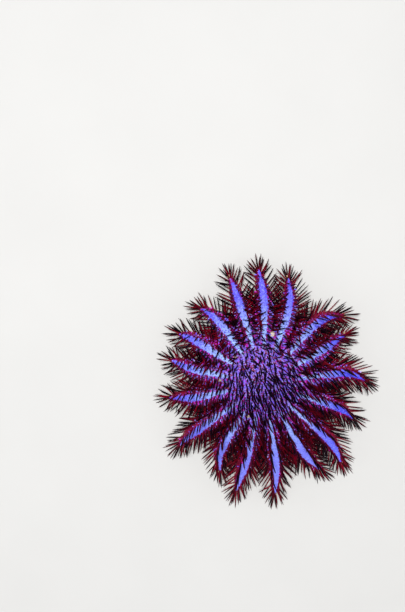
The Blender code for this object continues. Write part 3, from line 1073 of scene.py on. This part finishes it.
def hides_plate(surface, roots, reaches):
    """Whether each spine crosses the camera's line of sight to the middle of the largest sieve plate."""
    plate = surface.points[near_plate(surface, SIEVE_PLATES[0], 0.0)].mean(0)
    sight = unit(np.array(DISC_CENTRE + CAMERA_FROM_DISC) - plate)
    offsets = plate - roots
    offsets = offsets - (offsets @ sight)[:, None] * sight
    reaches = reaches - (reaches @ sight)[:, None] * sight
    share = np.clip((offsets * reaches).sum(1) / (reaches**2).sum(1), 0, 1)
    apart = np.linalg.norm(offsets - reaches * share[:, None], axis=1)
    return apart < PLATE_VIEW * SIEVE_PLATES[0].radius * MM


class STARFISH_OT_spines(bpy.types.Operator):
    """Grows the long spines, which stand up on the disc and fan out along the arms"""

    bl_idname = "starfish.spines"
    bl_label = "Spines"

    def execute(self, context):
        spines = context.scene.starfish_spines
        marks = context.scene.starfish_marks
        finish = spine_finish(spines)
        surface = skin_surface()
        beside = np.abs(surface.across) - stripe_width(surface.share, marks.stripe_half_width)
        striped = (surface.out > marks.stripe_from + SPINY_END) & (surface.share < STRIPED_TO)
        chosen = self.places(surface, spines, beside, striped)
        spots = surface.at(chosen)
        flank = fade(spots.normals[:, 2], *STEEP)
        flank *= np.where(striped, fade(beside, *BESIDE_STRIPE), 1.0)[chosen]
        draw = np.random.default_rng(SPINE_SEED)
        ways, lengths = self.aims(spots, spines, flank, draw)
        count = len(chosen)
        central = fade(spots.out, *CENTRAL)
        radii = spines.radius * draw.uniform(*SPINE_RADII, count) * (1 - TIP_THINNER * spots.free)
        radii *= 1 - CENTRAL_THINNER * central + CENTRAL_THINNER * fade(spots.out, *MIDDLE)
        bends = draw.normal(0, 1, (count, 3))
        bends -= (bends * ways).sum(1)[:, None] * ways
        bends = unit(bends) * draw.uniform(0, spines.bend, count)[:, None]
        tones = draw.uniform(0, 1, count) * (1 - CENTRAL_DARKER * central)
        growth = Growth(spots.points, ways, lengths, radii, patches_at(spots), tones, bends)
        on_disc = spots.out < spots.root * DISC_SHARE
        kept = ~hides_plate(surface, spots.points, ways * lengths[:, None])
        sprouts("disc_spines", SPINE, growth.part(on_disc & kept), finish)
        sprouts("arm_spines", SPINE, growth.part(~on_disc & kept), finish)
        self.tip_fans(spines, finish)
        return {"FINISHED"}

    def places(self, surface, spines, beside, striped):
        """The vertices that spines grow from: a row on each side of the stripes, and then all over."""
        grows = on_top(surface, SPINES_LEAST_UP) & ~(striped & (beside < STRIPE_CLEAR)) & off_plates(surface)
        kerb = np.flatnonzero(grows & striped & (beside < KERB_WIDTH) & (surface.normals[:, 2] > UPWARDS))
        chosen = kerb[np.argsort(surface.out[kerb])]
        slope = striped & (beside > FLANK_FROM)
        middle = fade(surface.out, *CENTRAL) > CENTRAL_LEAST
        zones = ((grows, spines.gap), (grows & slope, spines.flank_gap), (grows & middle, spines.disc_gap))
        for (zone, gap), seed in zip(zones, PLACE_SEEDS):
            chosen = spread_over(surface, zone, gap, seed, chosen.tolist())
        return chosen

    def aims(self, spots, spines, flank, draw):
        """The ways and lengths of the spines: nearly upright on top, and leaning outwards down the flanks."""
        free = spots.free
        lean = TOP_LEAN[0] + TOP_LEAN[1] * free + flank * (FLANK_LEAN[0] + FLANK_LEAN[1] * free)
        upper = fade(spots.points[:, 1] - DISC_CENTRE.y, *UPPER_SIDE)
        loose = LOOSE + LOOSE_UPPER * upper * fade(spots.out, *TANGLED)
        ways = spots.normals * (TOP_NORMAL + (1 - TOP_NORMAL) * flank)[:, None] + spots.way * lean[:, None]
        ways += draw.normal(0, 1, ways.shape) * loose[:, None]
        ways[:, 2] += TOP_UPRIGHT * (1 - flank)
        sway = (1 - flank) * (SWAY_LEAST + (1 - SWAY_LEAST) * fade(spots.out, *SWAYING))
        sway *= 1 - SWAY_SOUTH * np.clip(-spots.way[:, 1], 0, 1)
        ways += np.array(spines.sway) * sway[:, None]
        ways[:, 2] = np.maximum(ways[:, 2], LEAST_RISE)
        ways = unit(ways)
        lengths = spines.length * draw.uniform(*SPINE_LENGTHS, len(ways)) * (1 - TIP_SHORTER * free**2)
        lengths *= LOW_SPINE + (1 - LOW_SPINE) * np.maximum(fade(spots.points[:, 2], *ABOVE_SOLE), free)
        tips = spots.points[:, 2] + ways[:, 2] * lengths
        ways[:, 2] += np.maximum(0.0, FLOOR_CLEAR - tips) / lengths
        return lifted_clear(spots.points, spots.normals, ways, lengths), lengths

    def tip_fans(self, spines, finish):
        """Spreads a fan of spines round the end of every arm."""
        draw = random.Random(TIP_FAN_SEED)
        rows, bends = [], []
        for (index, arm), (turn, rise) in itertools.product(enumerate(ARMS), TIP_FAN):
            angle = math.radians(turn + draw.uniform(-TIP_FAN_JITTER, TIP_FAN_JITTER))
            climb = math.radians(rise + draw.uniform(-TIP_FAN_JITTER, TIP_FAN_JITTER))
            direction, side = arm_axes(arm, 1.0)
            flat = direction * math.cos(angle) + side * math.sin(angle)
            back = abs(turn) / TIP_FAN_WIDEST * TIP_FAN_DEPTH
            along = TIP_FAN_END - back / (arm.reach - arm.root)
            width, height = arm_size(index, along)
            up = arm_lift(along) + height * (TIP_FAN_UP + TIP_FAN_CLIMB * math.sin(climb))
            root = arm_line(arm, along) + UP * up + flat * width * TIP_FAN_ASIDE
            way = flat * math.cos(climb) + UP * math.sin(climb)
            size = spines.length * TIP_LENGTH * draw.uniform(*TIP_LENGTHS)
            radius = spines.radius * draw.uniform(*TIP_RADII)
            rows.append((root, way, size, radius, under_patch(index, arm.reach, turn * TIP_FAN_PATCH)))
            bends.append(Vector([draw.uniform(-1, 1) for _ in range(3)]) * spines.bend * TIP_BEND)
        growth = gathered(rows, draw)._replace(bends=np.array(bends))
        sprouts("tip_spines", SPINE, growth, finish)


# Where tufts grow, and the sizes of their fingers: shares of the full length, and radii in mm
TUFT_SEEDS = (21, 22)
TUFTS_LEAST_UP = -0.1
TUFTS_OFF_STRIPE = 0.5 * MM
TUFT_FINGERS = 3
TUFT_LENGTHS = (0.6, 1.15)
TUFT_RADII = (0.32, 0.5)
TUFT_TONE_MOST = 0.88
TUFT_SPREAD = 0.45
TUFT_SHIFT = 0.3 * MM
# How many tufts are missing near the disc, and how many of their fingers are violet there
TUFTS_THINNED = 0.6
TUFTS_THINNING = (104 * MM, 60 * MM)
VIOLET_MOST = 0.72
TURNING_VIOLET = (112 * MM, 66 * MM)
TUFTS_SHORTENED = 0.35
TUFTS_SHORTENING = (80 * MM, 40 * MM)
# The tufts come in three pieces, which part at these distances out
TUFTS_INNER = 82 * MM
TUFTS_OUTER = 106 * MM


class STARFISH_OT_gill_tufts(bpy.types.Operator):
    """Sets small crimson and violet tufts of gills all over the skin outside the stripes"""

    bl_idname = "starfish.gill_tufts"
    bl_label = "Gill tufts"

    def execute(self, context):
        coat = context.scene.starfish_coat
        surface = skin_surface()
        finish = tuft_finish(coat)
        bare = bare_back(surface, context.scene.starfish_marks, TUFTS_LEAST_UP, TUFTS_OFF_STRIPE)
        chosen = spread_over(surface, bare, coat.tuft_gap, TUFT_SEEDS[0])
        draw = np.random.default_rng(TUFT_SEEDS[1])
        missing = TUFTS_THINNED * fade(surface.out[chosen], *TUFTS_THINNING)
        chosen = chosen[draw.uniform(0, 1, len(chosen)) > missing]
        spots = surface.at(np.repeat(chosen, TUFT_FINGERS))
        count = len(spots.points)
        ways = unit(spots.normals + draw.normal(0, TUFT_SPREAD, (count, 3)))
        roots = spots.points + draw.normal(0, TUFT_SHIFT, (count, 3)) - spots.normals * TUFT_SHIFT
        shorter = TUFTS_SHORTENED * fade(spots.out, *TUFTS_SHORTENING)
        lengths = coat.tuft_length * draw.uniform(*TUFT_LENGTHS, count) * (1 - shorter)
        radii = draw.uniform(*TUFT_RADII, count) * MM
        violet = draw.uniform(0, 1, count) < VIOLET_MOST * fade(spots.out, *TURNING_VIOLET)
        tones = np.where(violet, 1.0, draw.uniform(0, TUFT_TONE_MOST, count))
        growth = Growth(roots, ways, lengths, radii, patches_at(spots), tones, np.zeros((count, 3)))
        inner, outer = spots.out < TUFTS_INNER, spots.out > TUFTS_OUTER
        for name, part in (("disc", inner), ("arm", ~inner & ~outer), ("tip", outer)):
            sprouts(name + "_gill_tufts", TUFT, growth.part(part), finish)
        return {"FINISHED"}


# Where beads grow, and their sizes: radii in mm, and heights as shares of the radius
BEAD_LIFT = 0.5 * MM
BEAD_SEEDS = (31, 32)
BEADS_LEAST_UP = 0.15
BEADS_OFF_STRIPE = -0.3 * MM
BEAD_RADII = (0.62, 0.95)
BEAD_HEIGHTS = (1.2, 2.5)
# How the beads thin out along the arms, grow and pale towards the middle, and darken in a ring round it
BEADS_LEAST = 0.08
BEADS_SETTING_IN = (112 * MM, 76 * MM)
BEADS_GROWTH = 0.3
BEADS_GROWING = (86 * MM, 56 * MM)
BEADS_PALER = 0.32
BEADS_PALING = (34 * MM, 12 * MM)
BEADS_RING = (38 * MM, 54 * MM)
RING_DARKER = 0.35
RING_HIGHER = 0.35
RING_SHARE = 0.6


class STARFISH_OT_beads(bpy.types.Operator):
    """Strews violet, blue and magenta beads over the disc, thinning out along the arms"""

    bl_idname = "starfish.beads"
    bl_label = "Beads"

    def execute(self, context):
        coat = context.scene.starfish_coat
        surface = skin_surface()
        bare = bare_back(surface, context.scene.starfish_marks, BEADS_LEAST_UP, BEADS_OFF_STRIPE)
        chosen = spread_over(surface, bare, coat.bead_gap, BEAD_SEEDS[0])
        draw = np.random.default_rng(BEAD_SEEDS[1])
        chance = BEADS_LEAST + (1 - BEADS_LEAST) * fade(surface.out[chosen], *BEADS_SETTING_IN)
        spots = surface.at(chosen[draw.uniform(0, 1, len(chosen)) < chance])
        count = len(spots.points)
        size = draw.uniform(*BEAD_RADII, count) * (1 + BEADS_GROWTH * fade(spots.out, *BEADS_GROWING)) * MM
        ring = fade(spots.out, *BEADS_RING)
        tones, chances = draw.uniform(0, 1, (2, count))
        tones *= 1 - RING_DARKER * ring * (chances < RING_SHARE)
        tones += BEADS_PALER * (1 - tones) * fade(spots.out, *BEADS_PALING)
        roots = spots.points + spots.normals * BEAD_LIFT
        lengths = size * draw.uniform(*BEAD_HEIGHTS, count) * (1 + RING_HIGHER * ring)
        growth = Growth(roots, spots.normals, lengths, size, patches_at(spots), tones, np.zeros((count, 3)))
        sprouts("skin_beads", BEAD, growth, bead_finish(coat))
        return {"FINISHED"}


# Everything below draws together towards the mouth and with an arm's own width
NARROW_LEAST = 0.35
NARROW_TO = 50 * MM
GIRTH_LEAST = 0.45
# The tube feet, in pairs: how far they stand from a groove's middle, splay and are staggered
FEET_FROM = 15 * MM
FOOT_SIDE = 1.7 * MM
FOOT_SPLAY = 1.5
FOOT_STAGGER = 0.25
FOOT_RADIUS = 0.62 * MM
FOOT_LONGEST = 9 * MM
FEET_SEED = 41
# The pegs beside the grooves: how far from the middle their two rows are, and where the second row begins
PEG_SIDES_OUT = (4.1 * MM, 6.2 * MM)
PEG_SECOND_ROW = 55 * MM
PEG_SPLAY = 0.5 * MM
PEG_RADIUS = 0.6 * MM
PEG_LONGEST = 4 * MM
PEG_SEED = 42
# The ring of pegs round the mouth: where they begin and, by turns, end, as shares of the mouth's radius
MOUTH_PEGS = 34
MOUTH_PEG_OUT = 1.45
MOUTH_PEG_ENDS = (0.45, 0.65)
MOUTH_PEG_LONGEST = 8 * MM
MOUTH_PATCH = 10 * MM
# Where pegs stud the soles: how far they keep from a groove's middle, and on which skin they grow
SOLE_CLEAR_INNER = 5.4 * MM
SOLE_CLEAR_OUTER = 7.6 * MM
SOLE_CLEAR_TAPER = 0.7
SOLE_FROM = 24 * MM
SOLE_HIGHEST = 4.5 * MM
SOLE_LEAST_DOWN = -0.75
# Their sizes are shares of the way down to the floor, and radii in mm
SOLE_PEG_GAP = 3.4 * MM
SOLE_PEG_SPREAD = 0.14
SOLE_PEG_LENGTHS = (0.7, 0.97)
SOLE_PEG_RADII = (0.42, 0.62)
SOLE_PEG_SEEDS = (43, 44)
# How the feet and pegs vary in length and radius, and how high over the floor they end
UNDER_LENGTHS = (0.94, 1.0)
UNDER_RADII = (0.85, 1.15)
TOUCH = 0.15 * MM


def grow_down(name, form, rows, finish, seed):
    """Feet or pegs down to the floor, from rows of root, end, radius, greatest length and patch."""
    tree = skin_tree()
    draw = random.Random(seed)
    grown = []
    for root, end, radius, longest, patch in rows:
        skin = tree.ray_cast(Vector((root.x, root.y, -1.0)), UP)[0]
        if skin is None:
            continue
        reach = Vector((end.x - root.x, end.y - root.y, TOUCH - skin.z))
        size = min(longest, reach.length) * draw.uniform(*UNDER_LENGTHS)
        root = Vector((root.x, root.y, skin.z))
        grown.append((root, reach.normalized(), size, radius * draw.uniform(*UNDER_RADII), patch))
    sprouts(name, form, gathered(grown, draw), finish)


class STARFISH_OT_underside(bpy.types.Operator):
    """Hangs the tube feet in their grooves, with pegs beside them and round the mouth"""

    bl_idname = "starfish.underside"
    bl_label = "Tube feet and pegs"

    def execute(self, context):
        coat = context.scene.starfish_coat
        feet, pegs = [], []
        for index, arm in enumerate(ARMS):
            for step in range(int((arm.reach - FEET_FROM) / coat.foot_gap)):
                self.pair(index, arm, FEET_FROM + (step + 0.5) * coat.foot_gap, coat.foot_gap, feet, pegs)
        for number in range(MOUTH_PEGS):
            azimuth = math.tau * number / MOUTH_PEGS
            root = polar(MOUTH_RADIUS * MOUTH_PEG_OUT, azimuth)
            end = polar(MOUTH_RADIUS * MOUTH_PEG_ENDS[number % 2], azimuth)
            patch = under_patch(number // 2, MOUTH_PATCH, 0.0)
            pegs.append((root, end, PEG_RADIUS, MOUTH_PEG_LONGEST, patch))
        grow_down("tube_feet", FOOT, feet, foot_finish(coat), FEET_SEED)
        finish = peg_finish(coat)
        grow_down("groove_pegs", PEG, pegs, finish, PEG_SEED)
        self.sole_pegs(finish)
        return {"FINISHED"}

    def pair(self, index, arm, out, gap, feet, pegs):
        """Adds two tube feet and the pegs beside them, at a distance out along an arm."""
        along = (out - arm.root) / (arm.reach - arm.root)
        place = arm_line(arm, along)
        direction, side = arm_axes(arm, along)
        girth = 1.0 if along < 0 else arm_size(index, along)[0] / root_half_width(index)
        squeeze = min(1.0, NARROW_LEAST + (1 - NARROW_LEAST) * out / NARROW_TO)
        squeeze *= GIRTH_LEAST + (1 - GIRTH_LEAST) * girth
        for sign in (-1, 1):
            across = sign * FOOT_SIDE * squeeze
            shift = direction * (FOOT_STAGGER * sign * gap)
            end = place + side * across * FOOT_SPLAY + shift
            patch = under_patch(index, out, across)
            feet.append((place + side * across + shift, end, FOOT_RADIUS * squeeze, FOOT_LONGEST, patch))
            for off in PEG_SIDES_OUT[: 1 if out < PEG_SECOND_ROW else 2]:
                across = sign * off * squeeze
                root = place + side * across - shift
                end = root + side * (sign * PEG_SPLAY)
                pegs.append((root, end, PEG_RADIUS * squeeze, PEG_LONGEST, under_patch(index, out, across)))

    def sole_pegs(self, finish):
        """Studs the sole between the grooves with short blunt pegs."""
        surface = skin_surface()
        clear = np.where(surface.out < PEG_SECOND_ROW, SOLE_CLEAR_INNER, SOLE_CLEAR_OUTER)
        clear *= 1 - SOLE_CLEAR_TAPER * surface.free**TAPER
        clear *= np.clip(NARROW_LEAST + (1 - NARROW_LEAST) * surface.out / NARROW_TO, 0, 1)
        grows = (surface.normals[:, 2] < SOLE_LEAST_DOWN) & (surface.points[:, 2] < SOLE_HIGHEST)
        grows &= (surface.out > SOLE_FROM) & (np.abs(surface.across) > clear)
        spots = surface.at(spread_over(surface, grows, SOLE_PEG_GAP, SOLE_PEG_SEEDS[0]))
        draw = np.random.default_rng(SOLE_PEG_SEEDS[1])
        count = len(spots.points)
        ways = np.array([[0.0, 0.0, -1.0]]) + draw.normal(0, SOLE_PEG_SPREAD, (count, 3))
        lengths = (spots.points[:, 2] - TOUCH) * draw.uniform(*SOLE_PEG_LENGTHS, count)
        radii = draw.uniform(*SOLE_PEG_RADII, count) * MM
        tones = draw.uniform(0, 1, count)
        growth = Growth(spots.points, ways, lengths, radii, patches_at(spots), tones, np.zeros((count, 3)))
        sprouts("sole_pegs", SOLE_PEG, growth, finish)


# The feelers at an arm's end: how far each turns aside, the middle one first
FEELER_TURNS = (0.0, -0.9, 0.9, -0.45, 0.45)
FEELER_LENGTH = 3.6 * MM
FEELER_RADIUS = 0.85 * MM
FEELER_SIDE = 1.8 * MM
FEELER_AHEAD = 0.6 * MM
FEELER_UP = 0.45
SIDE_FEELER = 0.6
FEELER_RISES = (0.1, 0.5)
FEELER_LENGTHS = (0.9, 1.1)
FEELER_SEED = 51


class STARFISH_OT_arm_tips(bpy.types.Operator):
    """Ends every arm in a small pale tentacle between two pairs of shorter ones"""

    bl_idname = "starfish.arm_tips"
    bl_label = "Arm tips"

    def execute(self, context):
        draw = random.Random(FEELER_SEED)
        rows = []
        for (index, arm), turn in itertools.product(enumerate(ARMS), FEELER_TURNS):
            direction, side = arm_axes(arm, 1.0)
            tip = arm_line(arm, 1.0) + UP * (TIP_LIFT + FEELER_UP * TIP_HEIGHT)
            share = SIDE_FEELER if turn else 1.0
            root = tip + side * (turn * FEELER_SIDE) + direction * FEELER_AHEAD
            way = direction + side * turn + UP * draw.uniform(*FEELER_RISES)
            size = FEELER_LENGTH * share * draw.uniform(*FEELER_LENGTHS)
            patch = under_patch(index, arm.reach, turn * MM)
            rows.append((root, way.normalized(), size, FEELER_RADIUS * share, patch))
        finish = foot_finish(context.scene.starfish_coat)
        sprouts("arm_tip_tentacles", TENTACLE, gathered(rows, draw), finish)
        return {"FINISHED"}


PLATE_RINGS = 14
PLATE_STEPS = 56
# The plates' form: how far they are raised and rooted in mm, and their height as a share of the radius
PLATE_LIFT = 0.5
PLATE_ROOT = 1.5
PLATE_HEIGHT = 0.42
PLATE_POWER = 2.4
# The slits: how many, how deep in mm, and how they wind, which differs from plate to plate
SLITS = 15
SLIT_DEPTH = 0.22
SLIT_WINDING = 9
SLIT_TWIST = 4
SLIT_GRAIN = 1.2
PLATES_APART = 300
# The slits begin and end at these shares of the radius, and how quickly
SLITS_FROM = 0.12
SLITS_IN = 6
SLITS_TO = 0.97
SLITS_OUT = 9


class STARFISH_OT_sieve_plates(bpy.types.Operator):
    """Sets the small chalky sieve plates into the top of the disc"""

    bl_idname = "starfish.sieve_plates"
    bl_label = "Sieve plates"

    def execute(self, context):
        surface = skin_surface()
        surface = surface.at(surface.normals[:, 2] > UPWARDS)
        verts, faces, slits = [], [], []
        for plate in SIEVE_PLATES:
            spots = surface.at(near_plate(surface, plate, 0.0))
            normal = Vector(spots.normals.mean(0)).normalized()
            centre = Vector(spots.points.mean(0)) + normal * PLATE_LIFT * MM
            right = normal.orthogonal().normalized()
            ahead = normal.cross(right)
            first = len(verts)
            for ring, step in itertools.product(range(1, PLATE_RINGS + 1), range(PLATE_STEPS)):
                share = ring / PLATE_RINGS
                angle = math.tau * step / PLATE_STEPS
                flat = (right * math.cos(angle) + ahead * math.sin(angle)) * share
                winding = noise.noise(centre * PLATES_APART + flat * SLIT_GRAIN) * SLIT_WINDING
                slit = 0.5 + 0.5 * math.sin(angle * SLITS + winding + share * SLIT_TWIST)
                slit *= float(smoothstep((share - SLITS_FROM) * SLITS_IN))
                slit *= float(smoothstep((SLITS_TO - share) * SLITS_OUT))
                height = PLATE_HEIGHT * plate.radius * (1 - share**PLATE_POWER) - SLIT_DEPTH * slit
                slits.append(slit)
                verts.append(centre + (flat * plate.radius + normal * height) * MM)
            last = len(verts) - PLATE_STEPS
            for ring in range(first, last, PLATE_STEPS):
                faces += bridge(ring, ring + PLATE_STEPS, PLATE_STEPS)
            verts.append(centre + normal * (PLATE_HEIGHT * plate.radius) * MM)
            verts.append(centre - normal * PLATE_ROOT * MM)
            slits += [0.0, 0.0]
            faces += [(b, a, c) for a, b, c in fan(first, PLATE_STEPS, len(verts) - 2)]
            faces += fan(last, PLATE_STEPS, len(verts) - 1)
        obj = new_object("sieve_plates", verts, faces)
        obj.data.shade_smooth()
        set_values(obj.data, "slit", slits)
        dress(obj, sieve_finish())
        return {"FINISHED"}


class STARFISH_OT_stage(bpy.types.Operator):
    """Lays the floor, hangs soft lights and sets the camera above the animal"""

    bl_idname = "starfish.stage"
    bl_label = "Stage"

    def execute(self, context):
        stage = context.scene.starfish_stage
        self.floor(stage)
        self.lights(stage)
        self.room(context.scene)
        self.camera(context.scene, stage)
        return {"FINISHED"}

    def floor(self, stage):
        angles = [math.tau * step / FLOOR_SIDES for step in range(FLOOR_SIDES)]
        rim = [(FLOOR_RADIUS * math.cos(angle), FLOOR_RADIUS * math.sin(angle), 0.0) for angle in angles]
        floor = new_object("studio_floor", rim, [tuple(range(FLOOR_SIDES))])
        f = Finish("studio_floor")
        darker = [FLOOR_SHADE * part for part in stage.floor_colour[:3]] + [1.0]
        shade = f.mix(f.noise(FLOOR_CLOUDS), stage.floor_colour, darker)
        f.bump(f.noise(1.5 * MM), 0.1 * MM, 0.2)
        floor.data.materials.append(f.done(shade, 0.75))

    def lights(self, stage):
        """Hangs the round lights, and a broad even one that shines from the same side as the first."""
        for name, place, size, share in STUDIO_LIGHTS:
            light = bpy.data.lights.new(name, "AREA")
            light.shape = "DISK"
            light.size = size
            light.energy = stage.key_power * share
            lamp = linked(name, light)
            lamp.location = place
            lamp.rotation_euler = (-Vector(place)).to_track_quat("-Z", "Y").to_euler()
            lamp.visible_camera = False
        sun = bpy.data.lights.new("light_far", "SUN")
        sun.energy = stage.far_strength
        sun.angle = FAR_LIGHT_SPREAD
        linked("light_far", sun).rotation_euler = bpy.data.objects[STUDIO_LIGHTS[0][0]].rotation_euler

    def room(self, scene):
        """Surrounds the stage with a pale glow that fades upwards."""
        world = bpy.data.worlds.new("pale_room")
        world.use_nodes = True
        nodes = Nodes(world.node_tree)
        place = nodes.add("ShaderNodeTexCoord").outputs["Generated"]
        height = nodes.add("ShaderNodeSeparateXYZ", {0: place}).outputs["Z"]
        background = world.node_tree.nodes["Background"]
        nodes.put(background.inputs["Color"], ROOM_COLOUR)
        nodes.put(background.inputs["Strength"], nodes.ramp(height, *GLOW_HEIGHTS, *GLOW_STRENGTHS))
        scene.world = world
        scene.view_settings.view_transform = "Standard"

    def camera(self, scene, stage):
        lens = bpy.data.cameras.new("camera")
        lens.lens = stage.focal_length
        lens.clip_start = CLIP_START
        camera = linked("camera", lens)
        camera.location = DISC_CENTRE + CAMERA_FROM_DISC
        camera.rotation_euler = (-stage.tilt, 0, 0)
        scene.camera = camera


PIECES = (
    STARFISH_OT_skin,
    STARFISH_OT_spines,
    STARFISH_OT_gill_tufts,
    STARFISH_OT_beads,
    STARFISH_OT_underside,
    STARFISH_OT_arm_tips,
    STARFISH_OT_sieve_plates,
    STARFISH_OT_stage,
)
GROUPS = (
    ("starfish_body", StarfishBody),
    ("starfish_spines", StarfishSpines),
    ("starfish_marks", StarfishMarks),
    ("starfish_coat", StarfishCoat),
    ("starfish_stage", StarfishStage),
)


class STARFISH_PT_sidebar(bpy.types.Panel):
    """Lists the pieces and their sizes and colours"""

    bl_idname = "STARFISH_PT_sidebar"
    bl_label = "Crown of thorns starfish"
    bl_space_type = "VIEW_3D"
    bl_region_type = "UI"
    bl_category = "Starfish"

    def draw(self, context):
        for piece in PIECES:
            self.layout.operator(piece.bl_idname)
        for name, _ in GROUPS:
            group = getattr(context.scene, name)
            box = self.layout.box()
            for key in group.bl_rna.properties.keys():
                if key not in ("rna_type", "name"):
                    box.prop(group, key)


def register():
    for name, group in GROUPS:
        bpy.utils.register_class(group)
        setattr(bpy.types.Scene, name, PointerProperty(type=group))
    for shown in (*PIECES, STARFISH_PT_sidebar):
        bpy.utils.register_class(shown)


def unregister():
    for shown in (STARFISH_PT_sidebar, *PIECES):
        bpy.utils.unregister_class(shown)
    for name, group in GROUPS:
        delattr(bpy.types.Scene, name)
        bpy.utils.unregister_class(group)


def main():
    register()
    bpy.ops.starfish.skin()
    bpy.ops.starfish.spines()
    bpy.ops.starfish.gill_tufts()
    bpy.ops.starfish.beads()
    bpy.ops.starfish.underside()
    bpy.ops.starfish.arm_tips()
    bpy.ops.starfish.sieve_plates()
    bpy.ops.starfish.stage()
    bpy.context.view_layer.update()


if __name__ == "__main__":
    main()
